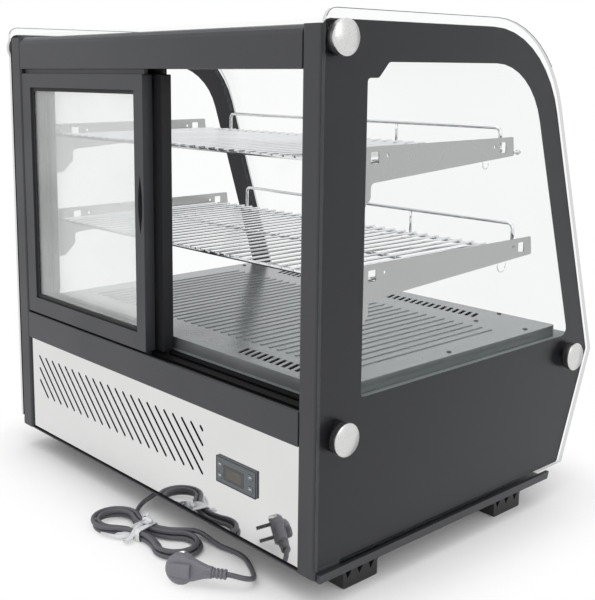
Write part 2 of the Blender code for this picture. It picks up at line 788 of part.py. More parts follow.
def make_header():
    """Hollow-free top beam with two door grooves below, a round rear edge and a lamp chamfer."""
    outer, inner = groove_depths()
    section = [((0.0, HEADER_BOTTOM), 0.0015)]
    for centre in (outer, inner):
        for depth, height in (
            (centre - GROOVE_WIDTH / 2, 0.0),
            (centre - GROOVE_WIDTH / 2, HEAD_GROOVE),
            (centre + GROOVE_WIDTH / 2, HEAD_GROOVE),
            (centre + GROOVE_WIDTH / 2, 0.0),
        ):
            section.append(((depth, HEADER_BOTTOM + height), 0.0))
    section += [
        ((HEADER_DEPTH - HEADER_CHAMFER, HEADER_BOTTOM), 0.0),
        ((HEADER_DEPTH, HEADER_BOTTOM + HEADER_CHAMFER), 0.0),
        ((HEADER_DEPTH, HEADER_TOP), 0.0),
        ((0.0, HEADER_TOP), HEADER_CORNER),
    ]
    half = OPENING_HALF - FIT
    as_part("header", slab([rounded(section)], "X", -half, half), SATIN_BLACK)


def make_lamp():
    """Crowned diffuser along the chamfer of the header."""
    middle = Vector((HEADER_DEPTH - HEADER_CHAMFER / 2, HEADER_BOTTOM + HEADER_CHAMFER / 2))
    along = Vector((1.0, 1.0)).normalized()
    out = Vector((1.0, -1.0)).normalized()
    seat = middle + out * FIT
    corners = (
        (seat - along * LAMP_WIDTH / 2, 0.0),
        (seat + along * LAMP_WIDTH / 2, 0.0),
        (seat + along * LAMP_WIDTH / 2 + out * LAMP_CROWN, LAMP_CROWN * 0.9),
        (seat - along * LAMP_WIDTH / 2 + out * LAMP_CROWN, LAMP_CROWN * 0.9),
    )
    half = OPENING_HALF - LAMP_MARGIN
    as_part("lamp_lens", slab([rounded(corners)], "X", -half, half), LAMP_WHITE)


def make_sill():
    """Door sill between the posts with a groove for each door."""
    outer, inner = groove_depths()
    section = [((0.0, SILL_BOTTOM), 0.0), ((POST_DEPTH, SILL_BOTTOM), 0.0), ((POST_DEPTH, SILL_TOP), 0.0)]
    for centre in (inner, outer):
        for depth, drop in (
            (centre + GROOVE_WIDTH / 2, 0.0),
            (centre + GROOVE_WIDTH / 2, SILL_GROOVE),
            (centre - GROOVE_WIDTH / 2, SILL_GROOVE),
            (centre - GROOVE_WIDTH / 2, 0.0),
        ):
            section.append(((depth, SILL_TOP - drop), 0.0))
    section.append(((0.0, SILL_TOP), 0.0015))
    half = OPENING_HALF - FIT
    as_part("door_sill", slab([rounded(section)], "X", -half, half), SATIN_BLACK)


def slanted_slots():
    """Slots at 45 degrees, clipped to the vent field, each with round ends."""
    loops = []
    height = SLOT_FIELD_TOP - SLOT_FIELD_BOTTOM
    first = -math.floor(height / SLOT_PITCH)
    last = math.floor((SLOT_FIELD_RIGHT - SLOT_FIELD_LEFT) / SLOT_PITCH)
    for number in range(first, last + 1):
        top_x = SLOT_FIELD_LEFT + number * SLOT_PITCH
        start = max(0.0, SLOT_FIELD_LEFT - top_x)
        end = min(height, SLOT_FIELD_RIGHT - top_x)
        if end - start < SLOT_WIDTH:
            continue
        loop = []
        for run, heading in ((start, 135.0), (end, -45.0)):
            for bend in (90.0, 30.0, -30.0, -90.0):
                angle = math.radians(heading + bend)
                x = top_x + run + SLOT_WIDTH / 2 * math.cos(angle)
                loop.append((x, SLOT_FIELD_TOP - run + SLOT_WIDTH / 2 * math.sin(angle)))
        loops.append(loop)
    return loops


def make_rear_panel():
    """Polished sheet below the doors with the slanted vent slots and the controller's cut-out."""
    half = OPENING_HALF - FIT
    outline = rectangle(-half, half, PANEL_BOTTOM, SILL_BOTTOM - FIT)
    opening = rectangle(
        BEZEL_CENTRE_X - CONTROLLER_WIDTH / 2 - FIT,
        BEZEL_CENTRE_X + CONTROLLER_WIDTH / 2 + FIT,
        BEZEL_CENTRE_HEIGHT - CONTROLLER_HEIGHT / 2 - FIT,
        BEZEL_CENTRE_HEIGHT + CONTROLLER_HEIGHT / 2 + FIT,
    )
    mesh = slab([outline, opening, *slanted_slots()], "Y", PANEL_RECESS, PANEL_RECESS + PANEL_SHEET)
    panel = as_part("rear_panel", mesh, POLISHED_STEEL)
    flange_half = half - PANEL_SHEET
    join(
        panel,
        block(
            (-flange_half, PANEL_RECESS + PANEL_SHEET / 2, PANEL_BOTTOM + PANEL_SHEET),
            (flange_half, PANEL_RECESS + PANEL_SHEET + PANEL_FLANGE, PANEL_BOTTOM + 2 * PANEL_SHEET),
        ),
    )


def make_controller():
    """Thermostat: bezel and body, display window and four keys that travel in their wells."""
    face = BEZEL_FACE_DEPTH
    back = PANEL_RECESS - FIT
    bezel = rectangle(
        BEZEL_CENTRE_X - BEZEL_WIDTH / 2,
        BEZEL_CENTRE_X + BEZEL_WIDTH / 2,
        BEZEL_CENTRE_HEIGHT - BEZEL_HEIGHT / 2,
        BEZEL_CENTRE_HEIGHT + BEZEL_HEIGHT / 2,
        0.002,
    )
    body = as_part("controller_body", slab([bezel], "Y", face, back), MOULDED_BLACK)
    join(
        body,
        block(
            (
                BEZEL_CENTRE_X - CONTROLLER_WIDTH / 2,
                (face + back) / 2,
                BEZEL_CENTRE_HEIGHT - CONTROLLER_HEIGHT / 2,
            ),
            (
                BEZEL_CENTRE_X + CONTROLLER_WIDTH / 2,
                face + CONTROLLER_DEPTH,
                BEZEL_CENTRE_HEIGHT + CONTROLLER_HEIGHT / 2,
            ),
        ),
    )
    display_x = BEZEL_CENTRE_X + DISPLAY_OFFSET_X
    display_height = BEZEL_CENTRE_HEIGHT + DISPLAY_OFFSET_HEIGHT
    window = rectangle(
        display_x - DISPLAY_WIDTH / 2,
        display_x + DISPLAY_WIDTH / 2,
        display_height - DISPLAY_HEIGHT / 2,
        display_height + DISPLAY_HEIGHT / 2,
        0.0015,
    )
    seat = face + DISPLAY_SEAT
    cut(body, slab([window], "Y", face - DISPLAY_SEAT, seat))
    lens = rectangle(
        display_x - DISPLAY_WIDTH / 2 + FIT,
        display_x + DISPLAY_WIDTH / 2 - FIT,
        display_height - DISPLAY_HEIGHT / 2 + FIT,
        display_height + DISPLAY_HEIGHT / 2 - FIT,
        0.0012,
    )
    lens_mesh = slab([lens], "Y", seat - FIT - DISPLAY_THICKNESS, seat - FIT)
    as_part("controller_lens", lens_mesh, DISPLAY_DARK)
    wells = []
    for column, offset in (("left", KEY_COLUMN_LEFT), ("right", KEY_COLUMN_RIGHT)):
        for row, sign in (("upper", 1), ("lower", -1)):
            x = BEZEL_CENTRE_X + offset
            height = BEZEL_CENTRE_HEIGHT + sign * KEY_ROW
            half_width = KEY_WIDTH / 2
            half_height = KEY_HEIGHT / 2
            low = height - half_height
            high = height + half_height
            cap = rectangle(x - half_width, x + half_width, low, high, 0.002)
            key_mesh = slab([cap], "Y", face - KEY_PROUD, face - KEY_PROUD + KEY_LENGTH)
            key = as_part(f"{column}_{row}_key", key_mesh, RUBBER_BLACK)
            joint_empty(f"{column}_{row}_key_axis", (x, at_depth(face), height), [key])
            wells.append(
                rectangle(
                    x - half_width - FIT,
                    x + half_width + FIT,
                    height - half_height - FIT,
                    height + half_height + FIT,
                    0.002 + FIT,
                )
            )
    cut(body, slab(wells, "Y", face - KEY_WELL, face + KEY_WELL))


def make_side_panes():
    """Side panes with their black print behind and stand-off caps outside."""
    places = cap_places()
    bore = STUD_RADIUS + STUD_CLEARANCE
    bores = [circle(depth, height, bore) for depth, height in places.values()]
    outline = rounded(case_corners(0.0, 0.0, PANE_CORNER))
    band = rounded(case_corners(PRINT_INSET, PRINT_FRONT_INSET, PANE_CORNER - 0.004))
    stud_end = INNER_HALF + FIT
    washer_face = HALF_WIDTH + FIT
    disc_face = washer_face + CAP_WASHER_THICKNESS
    outer_face = disc_face + CAP_THICKNESS
    profile = (
        (outer_face, 0.0),
        (outer_face, CAP_RADIUS - CAP_CHAMFER),
        (outer_face - CAP_CHAMFER, CAP_RADIUS),
        (disc_face, CAP_RADIUS),
        (disc_face, CAP_WASHER_RADIUS),
        (washer_face, CAP_WASHER_RADIUS),
        (washer_face, STUD_RADIUS),
        (stud_end, STUD_RADIUS),
        (stud_end, 0.0),
    )
    for sign in (-1, 1):
        side = side_name(sign)
        inside, outside = sorted((sign * (HALF_WIDTH - PANE_THICKNESS), sign * HALF_WIDTH))
        as_part(f"{side}_side_pane", slab([outline, *bores], "X", inside, outside), CLEAR_GLASS)
        inside, outside = sorted((sign * (INNER_HALF + FIT), sign * (INNER_HALF + FIT + PRINT_THICKNESS)))
        loops = [band, window_outline(), *bores]
        as_part(f"{side}_side_print", slab(loops, "X", inside, outside), PRINT_BLACK)
        for place, (depth, height) in places.items():
            frame = axis_frame((0.0, at_depth(depth), height), (sign, 0.0, 0.0))
            as_part(f"{side}_{place}_cap", turned(profile, frame, 24), BRUSHED_STEEL)


def make_front_glass():
    """One curved pane from the header over the brow to the kink, and the sheet apron below it."""
    half = INNER_HALF
    lower = KINK_HEIGHT + FIT / 2
    corners = []
    for inset, order in ((GLASS_INSET, 1), (GLASS_INSET + GLASS_THICKNESS, -1)):
        height = CASE_HEIGHT - inset
        run = [
            ((GLASS_REAR_DEPTH, height), 0.0),
            ((front_upper(height, inset), height), BROW_RADIUS - inset),
            ((front_upper(lower, inset), lower), 0.0),
        ]
        corners += run[::order]
    as_part("front_glass", slab([rounded(corners)], "X", -half, half), CLEAR_GLASS)
    top = KINK_HEIGHT - FIT / 2
    bottom = PANE_BOTTOM + APRON_RISE
    inner = GLASS_INSET + APRON_SHEET
    toe = front_lower(bottom, GLASS_INSET)
    section = [
        (front_lower(top, GLASS_INSET), top),
        (front_lower(top, inner), top),
        (front_lower(bottom + APRON_SHEET, inner), bottom + APRON_SHEET),
        (toe - APRON_FLANGE, bottom + APRON_SHEET),
        (toe - APRON_FLANGE, bottom),
        (toe, bottom),
    ]
    as_part("lower_front_panel", slab([section], "X", -half, half), SATIN_BLACK)


def make_tub():
    """Foamed tub that closes the cabin below and holds the evaporator under the deck."""
    rear = POST_DEPTH + FIT
    apron = GLASS_INSET + APRON_SHEET + FIT
    glass = GLASS_INSET + GLASS_THICKNESS + FIT
    section = [
        (rear, TUB_BOTTOM),
        (front_lower(TUB_BOTTOM, apron), TUB_BOTTOM),
        (front_lower(KINK_HEIGHT - 3 * FIT, apron), KINK_HEIGHT - 3 * FIT),
        (front_upper(KINK_HEIGHT, glass), KINK_HEIGHT - FIT),
        (front_upper(TUB_TOP, glass), TUB_TOP),
        (rear, TUB_TOP),
    ]
    tub = as_part("insulated_tub", slab([section], "X", -INNER_HALF, INNER_HALF), FOAM_WHITE)
    half = INNER_HALF - TUB_WALL
    front = front_lower(TUB_BOTTOM, apron) - TUB_WALL
    cut(tub, block((-half, rear + TUB_WALL, TUB_CAVITY_FLOOR), (half, front, TUB_TOP + TUB_WALL)))


def air_slots(count, start_x, depth):
    """Row of leaning slots in the deck."""
    loops = []
    for number in range(count):
        x = start_x + number * AIR_SLOT_PITCH
        far = depth + AIR_SLOT_LENGTH
        loops.append(
            [
                (x, depth),
                (x + AIR_SLOT_WIDTH, depth),
                (x + AIR_SLOT_WIDTH - AIR_SLOT_LEAN, far),
                (x - AIR_SLOT_LEAN, far),
            ]
        )
    return loops


def make_deck():
    """Ribbed deck plate with turned-down edges and two rows of air slots."""
    half = DECK_HALF_WIDTH
    front = front_upper(DECK_BOTTOM, GLASS_INSET + GLASS_THICKNESS) - DECK_FRONT_GAP
    outline = rectangle(-half, half, DECK_REAR_DEPTH, front, DECK_CORNER)
    deck = as_part("deck", slab([outline], "Z", DECK_BOTTOM, DECK_TOP), GREY_SHEET)
    hollow = rectangle(
        -half + DECK_SHEET,
        half - DECK_SHEET,
        DECK_REAR_DEPTH + DECK_SHEET,
        front - DECK_SHEET,
        DECK_CORNER - DECK_SHEET,
    )
    cut(deck, slab([hollow], "Z", DECK_BOTTOM - DECK_SKIRT, DECK_TOP - DECK_SHEET))
    front_start = -(FRONT_SLOT_COUNT - 1) / 2 * AIR_SLOT_PITCH - AIR_SLOT_WIDTH / 2
    slots = air_slots(REAR_SLOT_COUNT, REAR_SLOT_START_X, REAR_SLOT_DEPTH)
    slots += air_slots(FRONT_SLOT_COUNT, front_start, FRONT_SLOT_DEPTH)
    cut(deck, slab(slots, "Z", DECK_TOP - 2 * DECK_SHEET, DECK_TOP + 2 * DECK_SHEET))
    ribs = []
    for number in range(RIB_COUNT):
        x = (number - (RIB_COUNT - 1) / 2) * RIB_PITCH
        ribs.append(rectangle(x - RIB_WIDTH / 2, x + RIB_WIDTH / 2, RIB_REAR_DEPTH, RIB_FRONT_DEPTH))
    join(deck, slab(ribs, "Z", DECK_TOP - DECK_SHEET / 2, DECK_TOP + RIB_HEIGHT))


def slot_height(number):
    """Lower edge of a slot in the uprights."""
    return UPRIGHT_SLOT_BASE + number * UPRIGHT_SLOT_PITCH


def upright_web():
    """Depth of the rear and the front face of the uprights' slotted web."""
    front = POST_DEPTH + FIT + UPRIGHT_DEPTH
    return front - UPRIGHT_SHEET, front


def make_uprights():
    """Slotted channels on the posts that the shelf brackets hook into."""
    low = DECK_TOP + UPRIGHT_FOOT_GAP
    high = HEADER_BOTTOM - UPRIGHT_TOP_GAP
    rear = POST_DEPTH + FIT
    web_rear, web_front = upright_web()
    for sign in (-1, 1):
        centre = sign * UPRIGHT_X
        half = UPRIGHT_WIDTH / 2
        section = [
            (centre - half, rear),
            (centre - half, web_front),
            (centre + half, web_front),
            (centre + half, rear),
            (centre + half - UPRIGHT_SHEET, rear),
            (centre + half - UPRIGHT_SHEET, web_rear),
            (centre - half + UPRIGHT_SHEET, web_rear),
            (centre - half + UPRIGHT_SHEET, rear),
        ]
        upright = as_part(f"{side_name(sign)}_upright", slab([section], "Z", low, high), GREY_SHEET)
        slots = []
        for number in range(UPRIGHT_SLOT_COUNT):
            bottom = slot_height(number)
            left = centre - UPRIGHT_SLOT_WIDTH / 2
            right = centre + UPRIGHT_SLOT_WIDTH / 2
            slots.append(rectangle(left, right, bottom, bottom + UPRIGHT_SLOT_HEIGHT))
        cut(upright, slab(slots, "Y", web_rear - UPRIGHT_SHEET, web_front + UPRIGHT_SHEET))


def shelf_levels():
    """Name, bracket top and bracket front depth of the two shelves."""
    rise = UPRIGHT_SLOT_PITCH + HOOK_HEIGHT + SHELF_HOOK_DROP + FIT
    upper = slot_height(UPPER_SHELF_SLOT) + rise
    lower = slot_height(LOWER_SHELF_SLOT) + rise
    return ("upper", upper, UPPER_BRACKET_FRONT), ("lower", lower, LOWER_BRACKET_FRONT)


def bracket_outline(top, front):
    """Tapered bracket plate with an arm at the back and two hooks through the upright's slots."""
    web_rear, web_front = upright_web()
    rear = web_front + FIT
    arm = rear + BRACKET_ARM_WIDTH
    foot = top - BRACKET_ARM_DROP
    corners = [
        ((front, top), 0.002),
        ((rear, top), 0.0),
    ]
    for number in (0, 1):
        seat = top - SHELF_HOOK_DROP - HOOK_HEIGHT - number * UPRIGHT_SLOT_PITCH
        lip = web_rear - FIT
        corners += [
            ((rear, seat + HOOK_HEIGHT), 0.0),
            ((lip - HOOK_LIP, seat + HOOK_HEIGHT), 0.0),
            ((lip - HOOK_LIP, seat - HOOK_DROP), 0.0),
            ((lip, seat - HOOK_DROP), 0.0),
            ((lip, seat), 0.0),
            ((rear, seat), 0.0),
        ]
    corners += [
        ((rear, foot), 0.002),
        ((rear + BRACKET_TOE_WIDTH, foot), 0.004),
        ((arm, top - BRACKET_HEEL - BRACKET_ARM_WIDTH / 2), 0.006),
        ((arm, top - BRACKET_HEEL), 0.006),
        ((front + 0.003, top - BRACKET_NOSE), 0.002),
    ]
    return rounded(corners)


def bracket_openings(top, front):
    """Punched windows above the two shelf tabs, with a round hole beside each."""
    seat = top - SHELF_SEAT_DROP
    loops = []
    for centre, hole_step in ((TAB_REAR_DEPTH, 0.0225), (front - TAB_FRONT_SETBACK, -0.018)):
        half = TAB_WIDTH / 2
        high = seat + TAB_REACH - TAB_SHEET
        loops.append(rectangle(centre - half, centre + half, seat + 0.0005, high, 0.0012))
        loops.append(circle(centre + hole_step, seat + 0.009, 0.0025, 8))
    return loops


def make_brackets():
    """Two brackets for each shelf, with tabs bent in to carry the shelf's side wires."""
    for level, top, front in shelf_levels():
        for sign in (-1, 1):
            half = BRACKET_SHEET / 2
            low, high = sorted((sign * (UPRIGHT_X - half), sign * (UPRIGHT_X + half)))
            loops = [bracket_outline(top, front), *bracket_openings(top, front)]
            name = f"{level}_{side_name(sign)}_bracket"
            bracket = as_part(name, slab(loops, "X", low, high), BRUSHED_STEEL)
            root = sign * (UPRIGHT_X - BRACKET_SHEET / 4)
            tip = sign * (UPRIGHT_X - TAB_REACH)
            seat = top - SHELF_SEAT_DROP
            for centre in (TAB_REAR_DEPTH, front - TAB_FRONT_SETBACK):
                join(
                    bracket,
                    block(
                        (min(root, tip), centre - TAB_WIDTH / 2, seat - TAB_SHEET),
                        (max(root, tip), centre + TAB_WIDTH / 2, seat),
                    ),
                )


def make_shelves():
    """Welded wire shelves on the bracket tabs, each with a guard rail along its front wire."""
    setbacks = {"upper": UPPER_SHELF_SETBACK, "lower": LOWER_SHELF_SETBACK}
    rises = {"upper": UPPER_RAIL_RISE, "lower": LOWER_RAIL_RISE}
    for level, top, front in shelf_levels():
        half = SHELF_HALF_WIDTH
        height = top - SHELF_SEAT_DROP + FIT + SHELF_FRAME_RADIUS
        last = front - setbacks[level]
        border = rectangle(-half, half, SHELF_REAR_DEPTH, last, SHELF_CORNER)
        loop = [(x, at_depth(depth), height) for x, depth in border]
        frame = tube(loop, SHELF_FRAME_RADIUS, 1, closed=True)
        shelf = as_part(f"{level}_shelf", frame, CHROME_WIRE)
        crest = height + SHELF_FRAME_RADIUS + SHELF_WIRE_RADIUS - SHELF_WELD
        wires = []
        for number in range(SHELF_WIRE_COUNT):
            x = (number - (SHELF_WIRE_COUNT - 1) / 2) * SHELF_WIRE_PITCH
            wire_height = crest - SHELF_CROWN * (x / half) ** 2
            start = (x, at_depth(SHELF_REAR_DEPTH - SHELF_WIRE_OVERHANG), wire_height)
            end = (x, at_depth(last + SHELF_WIRE_OVERHANG), wire_height)
            wires.append((start, end))
        join(shelf, rods(wires, SHELF_WIRE_RADIUS, 6))
        middle = at_depth((SHELF_REAR_DEPTH + last) / 2)
        join(shelf, rods([((-half, middle, height), (half, middle, height))], SHELF_FRAME_RADIUS * 0.9, 6))
        tidy_facets(shelf)
        make_guard_rail(level, half - SHELF_CORNER, at_depth(last), height, rises[level])


def make_guard_rail(level, reach, y, height, rise):
    """Bent rail standing on the front wire of a shelf, with two posts between its ends."""
    foot = height + SHELF_FRAME_RADIUS + FIT
    crest = height + rise
    bends = rounded(
        [
            ((-reach, foot), 0.0),
            ((-reach, crest), RAIL_BEND),
            ((reach, crest), RAIL_BEND),
            ((reach, foot), 0.0),
        ]
    )
    route = [(x, y, z) for x, z in bends]
    rail = as_part(f"{level}_guard_rail", tube(route, SHELF_FRAME_RADIUS, 2), CHROME_WIRE)
    posts = [((x, y, foot), (x, y, crest)) for x in (-RAIL_POST_X, RAIL_POST_X)]
    join(rail, rods(posts, SHELF_FRAME_RADIUS * 0.8, 8))


def finned_outline(left, width, low, high):
    """Comb outline of a finned block: a spine with fins standing on it."""
    count = int((width - FIN_THICKNESS) / FIN_PITCH)
    outline = [(left, low), (left + width, low), (left + width, low + FIN_SPINE)]
    start = left + width - FIN_THICKNESS / 2
    for number in range(count):
        right = start - number * FIN_PITCH
        outline += [
            (right, low + FIN_SPINE),
            (right, high),
            (right - FIN_THICKNESS, high),
            (right - FIN_THICKNESS, low + FIN_SPINE),
        ]
    outline.append((left, low + FIN_SPINE))
    return outline


def cross_outline(x, height, reach):
    """Outline of two crossed struts, turned towards the corners of a fan frame."""
    half = FAN_STRUT / 2
    arm = [(reach, -half), (reach, half), (half, half)]
    outline = []
    for number in range(4):
        turn = Matrix.Rotation(math.radians(FAN_STRUT_TURN + 90.0 * number), 2)
        for point in arm:
            spot = turn @ Vector(point)
            outline.append((x + spot.x, height + spot.y))
    return outline


def make_fan(name, x, depth, height, size):
    """Axial fan that blows along the depth: square frame with motor and struts, and its rotor."""
    bore = size / 2 - FAN_RIM
    hub = bore * FAN_HUB_SHARE
    back = depth + FAN_THICKNESS
    half = size / 2
    ring = rectangle(x - half, x + half, height - half, height + half, FAN_RIM)
    mesh = slab([ring, circle(x, height, bore, 24)], "Y", depth, back)
    frame = as_part(f"{name}_fan_frame", mesh, PAINTED_BLACK)
    near = back - FAN_STRUT_THICKNESS
    join(frame, slab([cross_outline(x, height, bore + FAN_RIM / 2)], "Y", near, back - FIT))
    motor_face = depth + FAN_THICKNESS / 2
    axis = axis_frame((x, at_depth(motor_face), height), (0.0, 1.0, 0.0))
    motor = ((back - motor_face - 4 * FIT, 0.0), (back - motor_face - 4 * FIT, hub), (0.0, hub), (0.0, 0.0))
    join(frame, turned(motor, axis, 16))
    rotor_depth = motor_face - FAN_RUNNING_GAP - depth - FAN_RIM / 2
    axis = axis_frame((x, at_depth(depth + FAN_RIM / 2), height), (0.0, 1.0, 0.0))
    profile = (
        (rotor_depth, 0.0),
        (rotor_depth, hub),
        (rotor_depth * 0.15, hub),
        (0.0, hub * 0.85),
        (0.0, 0.0),
    )
    rotor = as_part(f"{name}_fan_rotor", turned(profile, axis, 16), MOULDED_BLACK)
    tip = bore - FAN_TIP_GAP
    root = hub * 0.7
    chord = rotor_depth * 0.8 / math.sin(math.radians(FAN_PITCH_ANGLE))
    blades = bpy.data.meshes.new("blades")
    shape = bmesh.new()
    for number in range(FAN_BLADES):
        place = (
            axis
            @ Matrix.Rotation(2 * math.pi * number / FAN_BLADES, 4, "Z")
            @ Matrix.Translation(((root + tip) / 2, 0.0, rotor_depth / 2))
            @ Matrix.Rotation(math.radians(FAN_PITCH_ANGLE), 4, "X")
            @ Matrix.Diagonal((tip - root, min(chord, hub * 1.1), BLADE_THICKNESS, 1.0))
        )
        bmesh.ops.create_cube(shape, size=1.0, matrix=place)
    shape.to_mesh(blades)
    shape.free()
    join(rotor, blades)
    joint_empty(f"{name}_fan_axis", (x, at_depth(motor_face), height), [rotor])


def make_cooling():
    """Condenser and fan behind the vent slots, compressor beside them, evaporator in the tub."""
    low = PAN_FLOOR + FIT
    rear = PANEL_RECESS + PANEL_SHEET + CONDENSER_SETBACK
    comb = finned_outline(CONDENSER_LEFT, CONDENSER_WIDTH, low, low + CONDENSER_HEIGHT)
    as_part("condenser", slab([comb], "Y", rear, rear + CONDENSER_DEPTH), FIN_METAL)
    fan_x = CONDENSER_LEFT + CONDENSER_WIDTH / 2
    fan_depth = rear + CONDENSER_DEPTH + FIT
    make_fan("condenser", fan_x, fan_depth, low + CONDENSER_FAN_SIZE / 2, CONDENSER_FAN_SIZE)
    floor = TUB_CAVITY_FLOOR + FIT
    comb = finned_outline(EVAPORATOR_LEFT, EVAPORATOR_WIDTH, floor, floor + EVAPORATOR_HEIGHT)
    as_part(
        "evaporator",
        slab([comb], "Y", EVAPORATOR_SETBACK, EVAPORATOR_SETBACK + EVAPORATOR_DEPTH),
        FIN_METAL,
    )
    fan_x = EVAPORATOR_LEFT + EVAPORATOR_WIDTH + EVAPORATOR_FAN_SIZE
    make_fan("evaporator", fan_x, EVAPORATOR_SETBACK, floor + EVAPORATOR_FAN_SIZE / 2, EVAPORATOR_FAN_SIZE)
    make_compressor(low)


def make_compressor(low):
    """Welded dome on a foot plate with four rubber mounts."""
    plate = low + COMPRESSOR_MOUNT_HEIGHT
    middle = at_depth(COMPRESSOR_SETBACK)
    frame = axis_frame((COMPRESSOR_X, middle, plate), (0.0, 0.0, 1.0), (0.0, 1.0, 0.0))
    radius, height = COMPRESSOR_RADIUS, COMPRESSOR_HEIGHT
    profile = (
        (height, 0.0),
        (height * 0.97, radius * 0.55),
        (height * 0.84, radius * 0.88),
        (height * 0.62, radius * 0.98),
        (height * 0.62, radius * 1.06),
        (height * 0.57, radius * 1.06),
        (height * 0.57, radius),
        (height * 0.14, radius * 0.97),
        (COMPRESSOR_PLATE / 2, radius * 0.72),
        (COMPRESSOR_PLATE / 2, 0.0),
    )
    compressor = as_part("compressor", turned(profile, frame, 24), PAINTED_BLACK)
    half_length, half_width = COMPRESSOR_PLATE_LENGTH / 2, COMPRESSOR_PLATE_WIDTH / 2
    outline = rectangle(
        COMPRESSOR_X - half_length,
        COMPRESSOR_X + half_length,
        COMPRESSOR_SETBACK - half_width,
        COMPRESSOR_SETBACK + half_width,
        COMPRESSOR_MOUNT_RADIUS,
    )
    join(compressor, slab([outline], "Z", plate, plate + COMPRESSOR_PLATE))
    mounts = []
    for x_sign in (-1, 1):
        for y_sign in (-1, 1):
            x = COMPRESSOR_X + x_sign * (half_length - COMPRESSOR_MOUNT_RADIUS - COMPRESSOR_PLATE)
            y = middle + y_sign * (half_width - COMPRESSOR_MOUNT_RADIUS - COMPRESSOR_PLATE)
            mounts.append(((x, y, low), (x, y, plate + COMPRESSOR_PLATE / 2)))
    join(compressor, rods(mounts, COMPRESSOR_MOUNT_RADIUS, 10))


def door_frame(name, left, face, end_on_left):
    """Door frame with a tongue above and below, its glazing gasket and its glass."""
    right = left + DOOR_WIDTH
    back = face + DOOR_THICKNESS
    centre = (face + back) / 2
    left_stile, right_stile = (END_STILE, MEETING_STILE) if end_on_left else (MEETING_STILE, END_STILE)
    opening = (left + left_stile, right - right_stile, DOOR_BOTTOM + BOTTOM_RAIL, DOOR_TOP - TOP_RAIL)
    outline = rectangle(left, right, DOOR_BOTTOM, DOOR_TOP, 0.0015)
    frame = as_part(f"{name}_door_frame", slab([outline, rectangle(*opening)], "Y", face, back), SATIN_BLACK)
    tongue = GROOVE_WIDTH / 2 - TONGUE_CLEARANCE
    inset = DOOR_CLEARANCE + PANEL_SHEET
    sink = DOOR_RISE / 2
    join(
        frame,
        block(
            (left + inset, centre - tongue, SILL_TOP - SILL_GROOVE + FIT),
            (right - inset, centre + tongue, DOOR_BOTTOM + sink),
        ),
    )
    join(
        frame,
        block(
            (left + inset, centre - tongue, DOOR_TOP - sink),
            (right - inset, centre + tongue, HEADER_BOTTOM + HEAD_GROOVE - DOOR_LIFT),
        ),
    )
    seat = (opening[0] + FIT, opening[1] - FIT, opening[2] + FIT, opening[3] - FIT)
    lip = (seat[0] + GASKET_WIDTH, seat[1] - GASKET_WIDTH, seat[2] + GASKET_WIDTH, seat[3] - GASKET_WIDTH)
    rear, front = centre - GASKET_THICKNESS / 2, centre + GASKET_THICKNESS / 2
    gasket_mesh = slab([rectangle(*seat), rectangle(*lip)], "Y", rear, front)
    gasket = as_part(f"{name}_door_gasket", gasket_mesh, RUBBER_BLACK)
    pane = (lip[0] + FIT, lip[1] - FIT, lip[2] + FIT, lip[3] - FIT)
    rear, front = centre - DOOR_GLASS_THICKNESS / 2, centre + DOOR_GLASS_THICKNESS / 2
    glass = as_part(f"{name}_door_glass", slab([rectangle(*pane)], "Y", rear, front), CLEAR_GLASS)
    joint_empty(f"{name}_door_slide", (left, at_depth(centre), SILL_TOP), [frame, gasket, glass])
    return frame


def make_doors():
    """Outer door closed at the left and inner door slid open behind it, on two tracks."""
    outer = door_frame("outer", DOOR_LEFT_STOP, DOOR_FACE_DEPTH, True)
    edge = DOOR_LEFT_STOP + DOOR_WIDTH - PULL_MARGIN
    low, high = PULL_CENTRE_HEIGHT - PULL_HEIGHT / 2, PULL_CENTRE_HEIGHT + PULL_HEIGHT / 2
    middle = edge - PULL_WIDTH / 2
    bulge = []
    for number in range(9):
        share = number / 8
        bulge.append((math.sin(math.pi * share) * PULL_WIDTH / 2, low + share * (high - low)))
    lens = [(middle + x, z) for x, z in bulge] + [(middle - x, z) for x, z in bulge[-2:0:-1]]
    cut(outer, slab([lens], "Y", DOOR_FACE_DEPTH - PULL_DEPTH, DOOR_FACE_DEPTH + PULL_DEPTH))
    door_frame("inner", DOOR_LEFT_STOP + INNER_DOOR_REST, DOOR_FACE_DEPTH + DOOR_SPACING, False)


def hank_frame():
    """Frame of the tied hank, on the counter in front of the service side."""
    place = Matrix.Translation((HANK_X, at_depth(-HANK_SETBACK), 0.0))
    return place @ Matrix.Rotation(math.radians(HANK_TURN), 4, "Z")


def loop_point(turn):
    """Point and outward normal of the innermost loop, some turns clockwise from its far waist.

    Two round lobes are joined by two hollow runs, all of them arcs, so that loops laid parallel
    to it keep one spacing.
    """
    spread = HANK_LOBE_OFFSET**2 + HANK_WAIST**2 - HANK_LOBE**2
    hollow = spread / (2 * (HANK_LOBE - HANK_WAIST))
    meeting = math.asin(HANK_LOBE_OFFSET / (HANK_LOBE + hollow))
    half = turn % 0.5 * 2
    quarter = min(half, 1.0 - half) * 2
    if quarter < HANK_RUN_SHARE:
        angle = meeting * quarter / HANK_RUN_SHARE
        normal = Vector((-math.sin(angle), math.cos(angle)))
        point = Vector((0.0, HANK_WAIST + hollow)) - normal * hollow
    else:
        angle = (math.pi / 2 + meeting) * (1.0 - quarter) / (1.0 - HANK_RUN_SHARE)
        normal = Vector((math.cos(angle), math.sin(angle)))
        point = Vector((HANK_LOBE_OFFSET, 0.0)) + normal * HANK_LOBE
    along = 1.0 if turn % 1.0 < 0.5 else -1.0
    across = along if half < 0.5 else -along
    flip = Vector((along, across))
    return point * flip, normal * flip


